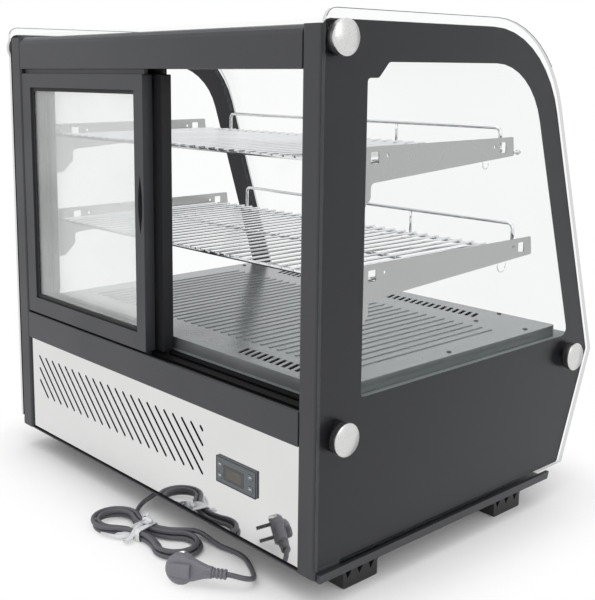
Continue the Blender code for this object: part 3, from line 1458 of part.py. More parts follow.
def hank_point(turn):
    """Point of the hank's cord: it spirals in along the lower layer, climbs and spirals out."""
    point, normal = loop_point(turn)
    spiral = abs(turn - HANK_REVERSE)
    climb = min(1.0, max(0.0, (turn - HANK_REVERSE + 0.25) / 0.5))
    rise = HANK_PITCH * climb * climb * (3 - 2 * climb)
    return Vector((*(point + normal * spiral * HANK_PITCH), HANK_BASE + rise))


def hank_route():
    """Points of the hank in its own axes, with a straight run of one diameter at each end."""
    total = HANK_END - HANK_START
    count = round(total * HANK_POINTS_PER_LOOP)
    route = [hank_point(HANK_START + total * number / count) for number in range(count + 1)]
    step = 0.01 / HANK_POINTS_PER_LOOP
    lead = (route[0] - hank_point(HANK_START + step)).normalized() * CORD_DIAMETER
    tail = (route[-1] - hank_point(HANK_END - step)).normalized() * CORD_DIAMETER
    return [route[0] + lead, *route, route[-1] + tail]


def least_gap(route):
    """Smallest clear distance between stretches of a route that aren't neighbours."""
    fine = []
    for start, end in zip(route, route[1:]):
        fine += [start.lerp(end, share / 4) for share in range(4)]
    travelled = [0.0]
    for start, end in zip(fine, fine[1:]):
        travelled.append(travelled[-1] + (end - start).length)
    least = 1.0
    for index, point in enumerate(fine):
        for other in range(index):
            if travelled[index] - travelled[other] > 4 * CORD_DIAMETER:
                least = min(least, (point - fine[other]).length)
    return least - CORD_DIAMETER


def smooth_route(points, spacing):
    """Points read at a spacing from a smooth curve through hand-placed points."""
    ends = [points[0] * 2 - points[1], *points, points[-1] * 2 - points[-2]]
    route = [points[0]]
    for index in range(1, len(ends) - 2):
        before, start, end, after = ends[index - 1 : index + 3]
        count = max(1, round((end - start).length / spacing))
        for number in range(1, count + 1):
            t = number / count
            spread = (end - before) * t + (2 * before - 5 * start + 4 * end - after) * t * t
            spread += (3 * start - before - 3 * end + after) * t * t * t
            route.append(start + spread / 2)
    return route


def make_cord():
    """Mains lead: gland under the pan, lead-in, tied hank, tail and angled plug."""
    frame = hank_frame()
    route = hank_route()
    print(f"least gap within the hank: {least_gap(route) * 1000:.2f} mm")
    hank = [frame @ point for point in route]
    as_part("cord_hank", tube(hank, CORD_RADIUS, 1), CORD_GREY)
    heading = Vector(GLAND_DIRECTION).normalized()
    root = Vector((GLAND_X, at_depth(GLAND_DEPTH), FOOT_HEIGHT - FIT))
    tip = root + heading * GLAND_LENGTH
    length = GLAND_LENGTH
    profile = (
        (length, 0.0),
        (length, GLAND_TIP_RADIUS),
        (0.0, GLAND_ROOT_RADIUS),
        (-length, GLAND_ROOT_RADIUS),
        (-length, 0.0),
    )
    gland = as_part("cord_gland", turned(profile, axis_frame(root, heading), 12), RUBBER_BLACK)
    room = GLAND_LENGTH * 2
    cut(
        gland,
        block(
            (GLAND_X - room, GLAND_DEPTH - room, FOOT_HEIGHT - FIT),
            (GLAND_X + room, GLAND_DEPTH + room, FOOT_HEIGHT + room),
        ),
    )
    start = tip + heading * FIT
    run_in = (hank[1] - hank[0]).normalized()
    end = hank[0] - run_in * FIT
    middle = [frame @ Vector(point) for point in LEAD_ROUTE]
    lead = [start, start + heading * CORD_DIAMETER, *middle, end - run_in * CORD_DIAMETER, end]
    as_part("cord_lead", tube(smooth_route(lead, CORD_DIAMETER), CORD_RADIUS, 2), CORD_GREY)
    run_out = (hank[-1] - hank[-2]).normalized()
    start = hank[-1] + run_out * FIT
    plug_heading = frame.to_3x3() @ Vector((*PLUG_HEADING, 0.0)).normalized()
    entry = frame @ Vector((*PLUG_ENTRY, PLUG_AXIS_HEIGHT))
    end = entry - plug_heading * FIT
    middle = [frame @ Vector(point) for point in TAIL_ROUTE]
    tail = [start, start + run_out * CORD_DIAMETER, *middle, end - plug_heading * CORD_DIAMETER, end]
    as_part("cord_tail", tube(smooth_route(tail, CORD_DIAMETER * 1.5), CORD_RADIUS, 2), CORD_GREY)
    make_tie(frame, route)
    make_plug(entry, plug_heading)


def make_tie(frame, route):
    """Plastic band round the waist of the hank, a fit clear of the outermost lanes."""
    lanes = [0.0]
    for start, end in zip(route, route[1:]):
        for share in range(9):
            point = start.lerp(end, share / 8)
            if abs(point.x) < TIE_WIDTH:
                lanes.append(point.y)
    near = min(lanes) - CORD_RADIUS - FIT
    far = max(lanes) + CORD_RADIUS + FIT
    low = HANK_BASE - CORD_RADIUS - FIT
    high = HANK_BASE + HANK_PITCH + CORD_RADIUS + FIT
    thick = TIE_THICKNESS
    inside = rectangle(near, far, low, high, TIE_CORNER)
    outside = rectangle(near - thick, far + thick, low - thick, high + thick, TIE_CORNER + thick)
    across = Matrix(((0, 0, 1, 0), (1, 0, 0, 0), (0, 1, 0, 0), (0, 0, 0, 1)))
    as_part("cord_tie", extruded([outside, inside], frame @ across, TIE_WIDTH), TIE_WHITE)


def make_plug(entry, heading):
    """Angled round plug lying on its rim: disc, neck with a ribbed strain relief, two pins."""
    axis = entry + heading * PLUG_NECK
    tilt = math.radians(PLUG_TILT)
    pins = heading.cross(Vector((0.0, 0.0, 1.0))) * math.cos(tilt) - Vector((0.0, 0.0, math.sin(tilt)))
    half = PLUG_THICKNESS / 2
    profile = (
        (half, 0.0),
        (half, PLUG_RADIUS * 0.93),
        (half * 0.75, PLUG_RADIUS),
        (-half * 0.35, PLUG_RADIUS),
        (-half * 0.85, PLUG_RADIUS * 0.82),
        (-half, PLUG_RADIUS * 0.55),
        (-half, 0.0),
    )
    plug = as_part("plug", turned(profile, axis_frame(axis, pins), 24), CORD_GREY)
    relief = PLUG_NECK * 0.34
    core, ridge = CORD_RADIUS * 1.55, CORD_RADIUS * 1.95
    neck = [(PLUG_NECK, 0.0)]
    for number in range(PLUG_RIBS):
        far = PLUG_NECK - relief * number / PLUG_RIBS
        near = PLUG_NECK - relief * (number + 0.5) / PLUG_RIBS
        neck += [(far, ridge), (near, ridge), (near, core), (far - relief / PLUG_RIBS, core)]
    neck += [
        (PLUG_NECK - relief, ridge * 1.15),
        (PLUG_RADIUS * 0.6, half * 0.95),
        (0.0, half * 0.9),
        (0.0, 0.0),
    ]
    join(plug, turned(neck, axis_frame(axis, -heading), 12))
    rise = heading.cross(pins) * PLUG_PIN_SPREAD
    ends = []
    for sign in (-1, 1):
        root = axis + rise * sign + pins * half * 0.5
        ends.append((root, axis + rise * sign + pins * (half + PLUG_PIN_LENGTH)))
    join(plug, rods(ends, PLUG_PIN_RADIUS, 8))


def main():
    """Build every piece of the display case."""
    for thing in list(bpy.data.objects):
        bpy.data.objects.remove(thing)
    bpy.context.scene.collection.children.link(PARTS)
    bpy.context.scene.collection.children.link(CUTTERS)
    make_base_pan()
    make_feet()
    make_posts()
    make_header()
    make_lamp()
    make_sill()
    make_rear_panel()
    make_controller()
    make_side_panes()
    make_front_glass()
    make_tub()
    make_deck()
    make_uprights()
    make_brackets()
    make_shelves()
    make_cooling()
    make_doors()
    make_cord()


main()
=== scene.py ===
"""Looks of the bakery display case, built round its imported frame.

Units are metres and +Z is up. The service doors face -Y, the curved customer glass faces +Y and
+X is to the right of someone at the doors. Depths are measured in from the service face.
"""

import json
import logging
import math
from dataclasses import dataclass, field, replace
from enum import Enum

import bmesh
import bpy
import numpy as np
from mathutils import Matrix, Vector


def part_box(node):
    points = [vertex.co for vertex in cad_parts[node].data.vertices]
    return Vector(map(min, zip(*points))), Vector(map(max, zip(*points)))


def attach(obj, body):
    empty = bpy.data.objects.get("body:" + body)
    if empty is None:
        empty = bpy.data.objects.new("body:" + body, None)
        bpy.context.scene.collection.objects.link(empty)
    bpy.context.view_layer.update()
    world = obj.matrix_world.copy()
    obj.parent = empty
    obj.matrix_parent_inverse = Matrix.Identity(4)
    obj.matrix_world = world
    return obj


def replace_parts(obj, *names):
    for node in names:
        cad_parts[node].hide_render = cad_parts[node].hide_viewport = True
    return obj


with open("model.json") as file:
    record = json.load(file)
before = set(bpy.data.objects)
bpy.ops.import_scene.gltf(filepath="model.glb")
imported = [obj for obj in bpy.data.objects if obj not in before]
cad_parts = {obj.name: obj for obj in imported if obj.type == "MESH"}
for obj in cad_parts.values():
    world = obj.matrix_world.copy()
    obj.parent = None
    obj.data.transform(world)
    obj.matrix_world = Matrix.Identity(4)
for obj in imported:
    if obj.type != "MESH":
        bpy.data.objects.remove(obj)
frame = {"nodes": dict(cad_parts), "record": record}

LOG = logging.getLogger("display_case")
CASE_DEPTH = 0.568
SILL_FACE_DEPTH = 0.0022
CASE = "case"
SIDES = (("left", -1), ("right", 1))
CAP_PLACES = ("top", "lower", "front")
KEY_PLACES = ("left_upper", "left_lower", "right_upper", "right_lower")

Pair = tuple[float, float]
Point = tuple[float, float, float]
Colour = tuple[float, float, float]
Piece = bpy.types.Object
Socket = bpy.types.NodeSocket

ORIGIN: Point = (0.0, 0.0, 0.0)
RIGHTWARD: Point = (1.0, 0.0, 0.0)
INWARD: Point = (0.0, 1.0, 0.0)
UPRIGHT: Point = (0.0, 0.0, 1.0)
EVEN: Point = (1.0, 1.0, 1.0)
WHITE: Colour = (1.0, 1.0, 1.0)
DEPTH_AXIS = 1
MERGE_DISTANCE = 1e-7
CLOSED_RADIUS = 1e-8


def at_depth(depth: float | np.ndarray) -> float | np.ndarray:
    """World Y of a depth measured in from the service face."""
    return depth - CASE_DEPTH / 2


class Grain(Enum):
    """Fine structure of a finish: what it looks like, its stretch on the axes and its octaves."""

    PEEL = ("orange peel of a powder coat", EVEN, 2.0)
    BRUSH = ("long brush marks", (0.02, 1.0, 1.0), 5.0)
    FLECK = ("even small flecks", EVEN, 5.0)
    CLOUD = ("soft wide clouds", EVEN, 5.0)


class Pane(Enum):
    """Axis that tells a pane's faces from its edges, and whether the faces look along it."""

    SIDE = (0, True)
    DOOR = (1, True)
    CURVED = (0, False)


@dataclass
class Tree:
    """Node tree of a material or a world, with short calls for the nodes that the finishes share."""

    owner: bpy.types.Material | bpy.types.World
    ending: str = "ShaderNodeOutputMaterial"
    noise_middle: Pair = (0.3, 0.7)
    tone_stops: Pair = (0.32, 0.68)
    edge_samples: int = 6

    def __post_init__(self) -> None:
        """Clear the tree and keep its output node."""
        self.owner.use_nodes = True
        self.nodes = self.owner.node_tree.nodes
        self.links = self.owner.node_tree.links
        self.nodes.clear()
        self.output = self.nodes.new(self.ending)

    def add(self, kind: str, **values: object) -> bpy.types.Node:
        """Add a node and set its properties.

        Args:
            kind: Blender's node type.
            values: Properties to set on the node.
        Returns:
            The new node.
        """
        node = self.nodes.new(kind)
        for name, value in values.items():
            setattr(node, name, value)
        return node

    def join(self, source: Socket, target: Socket) -> None:
        """Link two sockets."""
        self.links.new(source, target)

    def show(self, shader: Socket) -> None:
        """Link a shader to the output."""
        self.join(shader, self.output.inputs["Surface"])

    def operate(self, kind: str, operation: str, *operands: Socket | float | Point) -> bpy.types.Node:
        """Math node whose operands are sockets or constants.

        Args:
            kind: Blender's node type.
            operation: Blender's name of the operation.
            operands: What the operation works on.
        Returns:
            The new node.
        """
        node = self.add(kind, operation=operation)
        for place, operand in zip(node.inputs, operands):
            if isinstance(operand, Socket):
                self.join(operand, place)
            else:
                place.default_value = operand
        return node

    def math(self, operation: str, *operands: Socket | float) -> Socket:
        """Result of an operation on numbers."""
        return self.operate("ShaderNodeMath", operation, *operands).outputs["Value"]

    def vector(self, operation: str, *operands: Socket | Point) -> Socket:
        """Result of an operation on vectors that gives a vector."""
        return self.operate("ShaderNodeVectorMath", operation, *operands).outputs["Vector"]

    def blend(self, share: Socket, first: Socket, second: Socket) -> Socket:
        """Mix two shaders.

        Args:
            share: Share of the second shader.
            first: Shader where the share is 0.
            second: Shader where the share is 1.
        Returns:
            The mixed shader's socket.
        """
        mix = self.add("ShaderNodeMixShader")
        for place, source in zip(mix.inputs, (share, first, second)):
            self.join(source, place)
        return mix.outputs["Shader"]

    def seen(self) -> Socket:
        """Tell sight, straight or by way of a mirror or a pane, from light.

        Returns:
            A socket that is 1 for rays of sight and 0 for rays of light.
        """
        ray = self.add("ShaderNodeLightPath")
        mirrored = self.math("MAXIMUM", ray.outputs["Is Glossy Ray"], ray.outputs["Is Transmission Ray"])
        return self.math("MAXIMUM", ray.outputs["Is Camera Ray"], mirrored)

    def coordinates(self) -> Socket:
        """Object coordinates."""
        return self.add("ShaderNodeTexCoord").outputs["Object"]

    def on_vector(self, kind: str, vector: Socket) -> bpy.types.Node:
        """Node that takes one vector.

        Args:
            kind: Blender's node type.
            vector: What it takes.
        Returns:
            The new node.
        """
        node = self.add(kind)
        self.join(vector, node.inputs["Vector"])
        return node

    def axis(self, vector: Socket, number: int) -> Socket:
        """One coordinate of a vector."""
        return self.on_vector("ShaderNodeSeparateXYZ", vector).outputs[number]

    def noise(self, scale: float, stretch: Point = EVEN, detail: float = 4.0) -> Socket:
        """Noise on Object coordinates.

        Args:
            scale: Cells per metre before stretching.
            stretch: Factor on each axis, small along brush marks.
            detail: Octaves of the noise.
        Returns:
            The noise's factor socket, from 0 to 1.
        """
        turn = self.on_vector("ShaderNodeMapping", self.coordinates())
        turn.inputs["Scale"].default_value = stretch
        noise = self.on_vector("ShaderNodeTexNoise", turn.outputs["Vector"])
        noise.inputs["Scale"].default_value = scale
        noise.inputs["Detail"].default_value = detail
        return noise.outputs["Fac"]

    def mapped(self, value: Socket, source: Pair, target: Pair = (0.0, 1.0), kind: str = "LINEAR") -> Socket:
        """Carry a value from one range to another and hold it at the ends.

        Args:
            value: The value.
            source: Range that it comes from.
            target: Range that it goes to.
            kind: Blender's name of the way between the ends.
        Returns:
            The mapped socket.
        """
        node = self.add("ShaderNodeMapRange", interpolation_type=kind)
        for name, bound in zip(("From Min", "From Max", "To Min", "To Max"), (*source, *target)):
            node.inputs[name].default_value = bound
        self.join(value, node.inputs["Value"])
        return node.outputs["Result"]

    def span(self, factor: Socket, low: float, high: float) -> Socket:
        """Map the middle range of a noise to a span of values."""
        return self.mapped(factor, self.noise_middle, (low, high))

    def tint(self, factor: Socket, dark: Colour, light: Colour) -> Socket:
        """Blend two colours by a noise factor.

        Args:
            factor: Noise factor.
            dark: Colour where the noise is dark.
            light: Colour where it is bright.
        Returns:
            The colour socket.
        """
        ramp = self.add("ShaderNodeValToRGB")
        for stop, place, colour in zip(ramp.color_ramp.elements, self.tone_stops, (dark, light)):
            stop.position = place
            stop.color = (*colour, 1.0)
        self.join(factor, ramp.inputs["Fac"])
        return ramp.outputs["Color"]

    def relief(self, height: Socket, strength: float, depth: float, edge: float) -> Socket:
        """Bump over softly rounded edges.

        Args:
            height: Height socket.
            strength: Share of the bump that is used.
            depth: Height of the relief in metres.
            edge: Radius that the edges appear to have, or 0.
        Returns:
            The normal socket.
        """
        bump = self.add("ShaderNodeBump")
        bump.inputs["Strength"].default_value = strength
        bump.inputs["Distance"].default_value = depth
        self.join(height, bump.inputs["Height"])
        if edge > 0:
            bevel = self.add("ShaderNodeBevel", samples=self.edge_samples)
            bevel.inputs["Radius"].default_value = edge
            self.join(bevel.outputs["Normal"], bump.inputs["Normal"])
        return bump.outputs["Normal"]


@dataclass(frozen=True)
class TrackShade:
    """Painted shade on the door track: a dull dark colour that begins behind the coated front face and stands
    in for the shade in the track's grooves.
    """

    start: float
    fade: float = 0.001
    dark: Colour = (0.004, 0.004, 0.005)
    light: Colour = (0.009, 0.009, 0.010)
    specular: float = 0.06
    roughness: float = 0.5

    def behind(self, tree: Tree, front: Socket, fine: Socket) -> Socket:
        """Blend the painted track shade into a finish along the depth of the case.

        Args:
            tree: Node tree of the material.
            front: Shader of the front face.
            fine: Fine noise.
        Returns:
            The blended shader's socket.
        """
        groove_shade = tree.add("ShaderNodeBsdfPrincipled")
        groove_shade.inputs["Specular IOR Level"].default_value = self.specular
        groove_shade.inputs["Roughness"].default_value = self.roughness
        tree.join(tree.tint(fine, self.dark, self.light), groove_shade.inputs["Base Color"])
        depth = tree.axis(tree.coordinates(), DEPTH_AXIS)
        inside = tree.mapped(depth, (self.start, self.start + self.fade))
        return tree.blend(inside, front, groove_shade.outputs["BSDF"])


@dataclass(frozen=True)
class Finish:
    """Procedural opaque finish.

    Two noises on Object coordinates drive it: a fine one, shaped by the grain, for colour and
    relief, and a wide one that makes the gloss uneven as handling and cleaning do.
    """

    name: str
    colour: Colour
    roughness: float
    metallic: float = 0.0
    specular: float = 0.5
    grain: Grain = Grain.FLECK
    scale: float = 900.0
    spread: float = 0.12
    gloss_spread: float = 0.06
    relief: float = 0.15
    depth: float = 0.0002
    edge: float = 0.0006
    track_shade: TrackShade | None = None
    handling_scale: float = 9.0
    handling_detail: float = 3.0
    least_roughness: float = 0.02

    def build(self) -> bpy.types.Material:
        """Make the material.

        Returns:
            The material, ready to assign.
        """
        material = bpy.data.materials.new(self.name)
        tree = Tree(material)
        shader = tree.add("ShaderNodeBsdfPrincipled")
        shader.inputs["Metallic"].default_value = self.metallic
        shader.inputs["Specular IOR Level"].default_value = self.specular
        _, stretch, detail = self.grain.value
        fine = tree.noise(self.scale, stretch, detail)
        wide = tree.noise(self.handling_scale, detail=self.handling_detail)
        tone = wide if self.grain is Grain.CLOUD else fine
        dark = tuple(part * (1 - self.spread) for part in self.colour)
        light = tuple(min(1.0, part * (1 + self.spread)) for part in self.colour)
        tree.join(tree.tint(tone, dark, light), shader.inputs["Base Color"])
        low = max(self.least_roughness, self.roughness - self.gloss_spread)
        high = min(1.0, self.roughness + self.gloss_spread)
        tree.join(tree.span(wide, low, high), shader.inputs["Roughness"])
        tree.join(tree.relief(fine, self.relief, self.depth, self.edge), shader.inputs["Normal"])
        surface = shader.outputs["BSDF"]
        # With a track shade set, the finish turns into painted shade behind the front face.
        tree.show(self.track_shade.behind(tree, surface, fine) if self.track_shade else surface)
        return material


@dataclass(frozen=True)
class GlassFinish:
    """Clear pane whose faces let light and sight straight through and whose narrow edges look grey.

    The outer side of a face mirrors by Fresnel, and an index of 1 leaves the mirror out. An edge is a
    partly see-through grey green body, which is how float glass looks through its long way.
    """

    name: str
    pane: Pane
    tint: Colour = (0.985, 0.989, 0.988)
    edge_colour: Colour = (0.070, 0.082, 0.082)
    edge_spread: float = 0.18
    edge_scale: float = 60.0
    edge_roughness: float = 0.2
    edge_body: float = 0.32
    face_from: float = 0.5
    haze: float = 0.004
    haze_spread: float = 0.6
    haze_scale: float = 5.0
    haze_colour: Colour = (0.9, 0.92, 0.92)
    mirror_blur: float = 0.20
    blur_spread: float = 0.02
    blur_scale: float = 14.0
    mirror_index: float = 1.36

    def faces(self, tree: Tree, inner: Socket) -> Socket:
        """Shader of the faces: clear, with a mirror on the outer side under a veil of haze.

        Args:
            tree: Node tree of the material.
            inner: 1 where the surface is seen from within the glass.
        Returns:
            The shader's socket.
        """
        clear = tree.add("ShaderNodeBsdfTransparent")
        clear.inputs["Color"].default_value = (*self.tint, 1.0)
        mirror = tree.add("ShaderNodeBsdfGlossy")
        mirror.inputs["Color"].default_value = (*WHITE, 1.0)
        sharpest, softest = self.mirror_blur - self.blur_spread, self.mirror_blur + self.blur_spread
        blur = tree.span(tree.noise(self.blur_scale), sharpest, softest)
        tree.join(blur, mirror.inputs["Roughness"])
        fresnel = tree.add("ShaderNodeFresnel")
        fresnel.inputs["IOR"].default_value = self.mirror_index
        shine = tree.math("MULTIPLY", fresnel.outputs["Fac"], tree.math("SUBTRACT", 1.0, inner))
        pane = tree.blend(shine, clear.outputs["BSDF"], mirror.outputs["BSDF"])
        veil = tree.add("ShaderNodeBsdfDiffuse")
        veil.inputs["Color"].default_value = (*self.haze_colour, 1.0)
        thin, thick = self.haze * (1 - self.haze_spread), self.haze * (1 + self.haze_spread)
        return tree.blend(tree.span(tree.noise(self.haze_scale), thin, thick), pane, veil.outputs["BSDF"])

    def edges(self, tree: Tree) -> Socket:
        """Shader of the narrow edges.

        Args:
            tree: Node tree of the material.
        Returns:
            The shader's socket.
        """
        rim = tree.add("ShaderNodeBsdfPrincipled")
        light = tuple(min(1.0, part * (1 + self.edge_spread)) for part in self.edge_colour)
        tree.join(tree.tint(tree.noise(self.edge_scale), self.edge_colour, light), rim.inputs["Base Color"])
        rim.inputs["Roughness"].default_value = self.edge_roughness
        rim.inputs["Alpha"].default_value = self.edge_body
        return rim.outputs["BSDF"]

    def build(self) -> bpy.types.Material:
        """Make the material, which tells faces from edges by the lean of the surface.

        Returns:
            The material, ready to assign.
        """
        material = bpy.data.materials.new(self.name)
        tree = Tree(material)
        surface = tree.add("ShaderNodeNewGeometry")
        axis, along = self.pane.value
        lean = tree.math("ABSOLUTE", tree.axis(surface.outputs["True Normal"], axis))
        on_face = tree.math("GREATER_THAN" if along else "LESS_THAN", lean, self.face_from)
        faces = self.faces(tree, surface.outputs["Backfacing"])
        tree.show(tree.blend(on_face, self.edges(tree), faces))
        return material


SATIN_BLACK = Finish(
    "satin_black_coat", (0.030, 0.0312, 0.0362), 0.40, grain=Grain.PEEL, scale=700.0, relief=0.08
)
# Sill coat that turns dark and dull behind its front face: painted shade in the door track's grooves.
SILL_BLACK = replace(SATIN_BLACK, name="sill_coat", track_shade=TrackShade(at_depth(SILL_FACE_DEPTH)))
PRINT_BLACK = Finish(
    "enamel_print",
    (0.013, 0.013, 0.0165),
    0.30,
    specular=0.38,
    grain=Grain.CLOUD,
    spread=0.03,
    gloss_spread=0.01,
    relief=0.0,
    edge=0.0,
)
MOULDED_BLACK = Finish("moulded_black", (0.016, 0.016, 0.018), 0.50, grain=Grain.PEEL, scale=1500.0)
# Black of the cap rings: rubber, and also painted shade under each cap's disc.
RUBBER_AND_SHADE_BLACK = Finish("rubber_and_shade_black", (0.012, 0.012, 0.013), 0.65, grain=Grain.FLECK, scale=1800.0)
POLISHED_STEEL = Finish(
    "polished_sheet",
    (0.72, 0.72, 0.715),
    0.035,
    1.0,
    grain=Grain.CLOUD,
    spread=0.02,
    gloss_spread=0.012,
    relief=0.004,
    edge=0.0,
)
BRUSHED_STEEL = Finish("brushed_steel", (0.46, 0.465, 0.46), 0.30, 1.0, grain=Grain.BRUSH, relief=0.06)
CAP_STEEL = Finish("cap_steel", (0.68, 0.68, 0.67), 0.30, 1.0, grain=Grain.BRUSH, relief=0.06)
CHROME_WIRE = Finish(
    "chrome_wire", (0.80, 0.81, 0.82), 0.14, 1.0, grain=Grain.CLOUD, spread=0.05, relief=0.03
)
GREY_SHEET = Finish(
    "grey_sheet", (0.265, 0.28, 0.285), 0.22, 0.50, grain=Grain.CLOUD, spread=0.05, relief=0.03
)
LAMP_WHITE = Finish("lamp_diffuser", (0.80, 0.81, 0.82), 0.40, grain=Grain.CLOUD, spread=0.02)
LINER_GREY = Finish("moulded_liner", (0.230, 0.255, 0.257), 0.50, grain=Grain.PEEL, scale=400.0)
FIN_METAL = Finish("bare_fins", (0.62, 0.63, 0.64), 0.38, 1.0, grain=Grain.BRUSH)
PAINTED_BLACK = Finish("black_enamel", (0.014, 0.014, 0.015), 0.38, grain=Grain.PEEL, scale=500.0)
DISPLAY_DARK = Finish("smoked_window", (0.045, 0.047, 0.050), 0.12, grain=Grain.CLOUD, relief=0.0, edge=0.0)
DISPLAY_BROWN = Finish("display_pane", (0.085, 0.076, 0.066), 0.30, grain=Grain.CLOUD, relief=0.0, edge=0.0)
BEZEL_GREY = Finish("bezel_face", (0.095, 0.108, 0.115), 0.36, grain=Grain.PEEL, scale=1500.0, relief=0.05)
KEY_GREY = Finish("key_face", (0.130, 0.150, 0.175), 0.42, grain=Grain.FLECK, scale=1500.0, relief=0.05)
# Darker, less glossy copy of the black door coat for the inner door's frame: painted shade that stands in for
# the dark reflection on its stile.
STILE_SHADE_BLACK = Finish(
    "stile_shade_black", (0.014, 0.0145, 0.016), 0.42, specular=0.3, grain=Grain.PEEL, scale=700.0
)
ARRIS_GREY = Finish("ground_arris", (0.110, 0.130, 0.126), 0.40, grain=Grain.FLECK, scale=1800.0, relief=0.03)
SCREW_DARK = Finish(
    "blackened_screw", (0.085, 0.090, 0.090), 0.36, 0.6, grain=Grain.FLECK, scale=2200.0, relief=0.04
)
ZINC = Finish("zinc_plate", (0.58, 0.60, 0.61), 0.30, 1.0, grain=Grain.FLECK, scale=2200.0, relief=0.04)
EARTH_METAL = Finish(
    "earth_metal", (0.80, 0.80, 0.79), 0.16, 1.0, grain=Grain.CLOUD, spread=0.04, relief=0.02
)
CORD_GREY = Finish("flex_sheath", (0.100, 0.099, 0.114), 0.44, grain=Grain.PEEL, scale=1400.0)
PLUG_GREY = Finish("plug_body", (0.165, 0.163, 0.185), 0.46, grain=Grain.PEEL, scale=1400.0)
TIE_WHITE = Finish("tie_band", (0.78, 0.79, 0.81), 0.40, grain=Grain.CLOUD, spread=0.05)
TIE_FILM = Finish("tie_film", (0.76, 0.77, 0.79), 0.30, grain=Grain.CLOUD, spread=0.08)
SIDE_GLASS = GlassFinish("side_glass", Pane.SIDE, haze=0.0, mirror_index=1.0)
FRONT_GLASS = GlassFinish("front_glass", Pane.CURVED)
DOOR_GLASS = GlassFinish("door_glass", Pane.DOOR, haze=0.12, mirror_index=2.3)

OPAQUE = {
    "satin_black": SATIN_BLACK,
    "print_black": PRINT_BLACK,
    "moulded_black": MOULDED_BLACK,
    "rubber_black": RUBBER_AND_SHADE_BLACK,
    "polished_steel": POLISHED_STEEL,
    "brushed_steel": BRUSHED_STEEL,
    "chrome_wire": CHROME_WIRE,
    "grey_sheet": GREY_SHEET,
    "lamp_white": LAMP_WHITE,
    "foam_white": LINER_GREY,
    "fin_metal": FIN_METAL,
    "painted_black": PAINTED_BLACK,
    "display_dark": DISPLAY_DARK,
    "cord_grey": CORD_GREY,
    "tie_white": TIE_WHITE,
}
NODE_FINISH = {
    "controller_body": BEZEL_GREY,
    # Inner door frame: painted shade, a darker copy of the door coat.
    "inner_door_frame": STILE_SHADE_BLACK,
    "door_sill": SILL_BLACK,
    "plug": PLUG_GREY,
    "front_glass": FRONT_GLASS,
    **{f"{place}_key": KEY_GREY for place in KEY_PLACES},
    **{f"{side}_{place}_cap": CAP_STEEL for side, _ in SIDES for place in CAP_PLACES},
    **{f"{side}_side_pane": SIDE_GLASS for side, _ in SIDES},
    **{f"{leaf}_door_glass": DOOR_GLASS for leaf in ("outer", "inner")},
}
SLOTS = {row["node"]: row["material_slot"] for row in frame["record"]["subparts"]}


def finish_of(node: str) -> Finish | GlassFinish:
    """Finish of a CAD node: its own, or that of its slot in the record."""
    return NODE_FINISH.get(node) or OPAQUE[SLOTS[node]]


@dataclass
class Palette:
    """Materials made once for each finish."""

    made: dict[str, bpy.types.Material] = field(default_factory=dict)

    def of(self, finish: Finish | GlassFinish) -> bpy.types.Material:
        """Material of a finish.

        Args:
            finish: The finish to look up or make.
        Returns:
            Its material.
        """
        if finish.name not in self.made:
            self.made[finish.name] = finish.build()
        return self.made[finish.name]


def box_of(node: str) -> tuple[np.ndarray, np.ndarray]:
    """Lower and upper corner of a CAD node's box."""
    low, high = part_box(node)
    return np.array(low), np.array(high)


def new_object(name: str, data: bpy.types.ID) -> Piece:
    """Object at the origin of the scene.

    Args:
        name: Name of the object.
        data: Mesh, lamp or camera that it shows.
    Returns:
        The linked object.
    """
    thing = bpy.data.objects.new(name, data)
    bpy.context.scene.collection.objects.link(thing)
    return thing


def grid_piece(name: str, grid: np.ndarray, joined: bool = True, smooth: bool = True) -> Piece:
    """Piece from a grid of points, with doubles merged and faces turned outwards.

    Each quad spans one row and one column of the grid.

    Args:
        name: Name of the piece.
        grid: Points by row and column.
        joined: Whether the last column joins the first.
        smooth: Whether the faces are shaded smooth.
    Returns:
        The linked object.
    """
    rows, columns = grid.shape[:2]
    spans = columns if joined else columns - 1
    row, column = np.meshgrid(np.arange(rows - 1) * columns, np.arange(spans), indexing="ij")
    after = (column + 1) % columns
    quads = np.stack((row + column, row + after, row + columns + after, row + columns + column), -1)
    mesh = bpy.data.meshes.new(name)
    mesh.from_pydata(grid.reshape(-1, 3).tolist(), [], quads.reshape(-1, 4).tolist())
    shape = bmesh.new()
    shape.from_mesh(mesh)
    bmesh.ops.remove_doubles(shape, verts=shape.verts, dist=MERGE_DISTANCE)
    bmesh.ops.recalc_face_normals(shape, faces=shape.faces)
    shape.to_mesh(mesh)
    shape.free()
    mesh.polygons.foreach_set("use_smooth", np.full(len(mesh.polygons), smooth))
    return new_object(name, mesh)


def capped(sections: np.ndarray) -> np.ndarray:
    """Close a loft: its first and last sections are each drawn together to their middle.

    Args:
        sections: Points by section and place round it.
    Returns:
        The sections with one more at each end.
    """
    middle = sections.mean(1, keepdims=True)
    first, last = (np.broadcast_to(row, sections[:1].shape) for row in (middle[:1], middle[-1:]))
    return np.concatenate((first, sections, last))


def offsets(sizes: np.ndarray, shares: np.ndarray, direction: np.ndarray) -> np.ndarray:
    """Offsets of a loft: size(s) share(a) along one direction."""
    return (sizes[:, None] * shares)[..., None] * direction


def squared(value: np.ndarray, exponent: float) -> np.ndarray:
    """Signed power of a sine or cosine, which squares a circle up into a superellipse."""
    return np.sign(value) * np.abs(value) ** exponent


def thicken(thing: Piece, thickness: float) -> Piece:
    """Give an open surface a thickness, half of it on each side.

    Args:
        thing: The surface.
        thickness: Its thickness.
    Returns:
        The same piece.
    """
    sheet = thing.modifiers.new("sheet", "SOLIDIFY")
    sheet.thickness = thickness
    sheet.offset = 0.0
    return thing


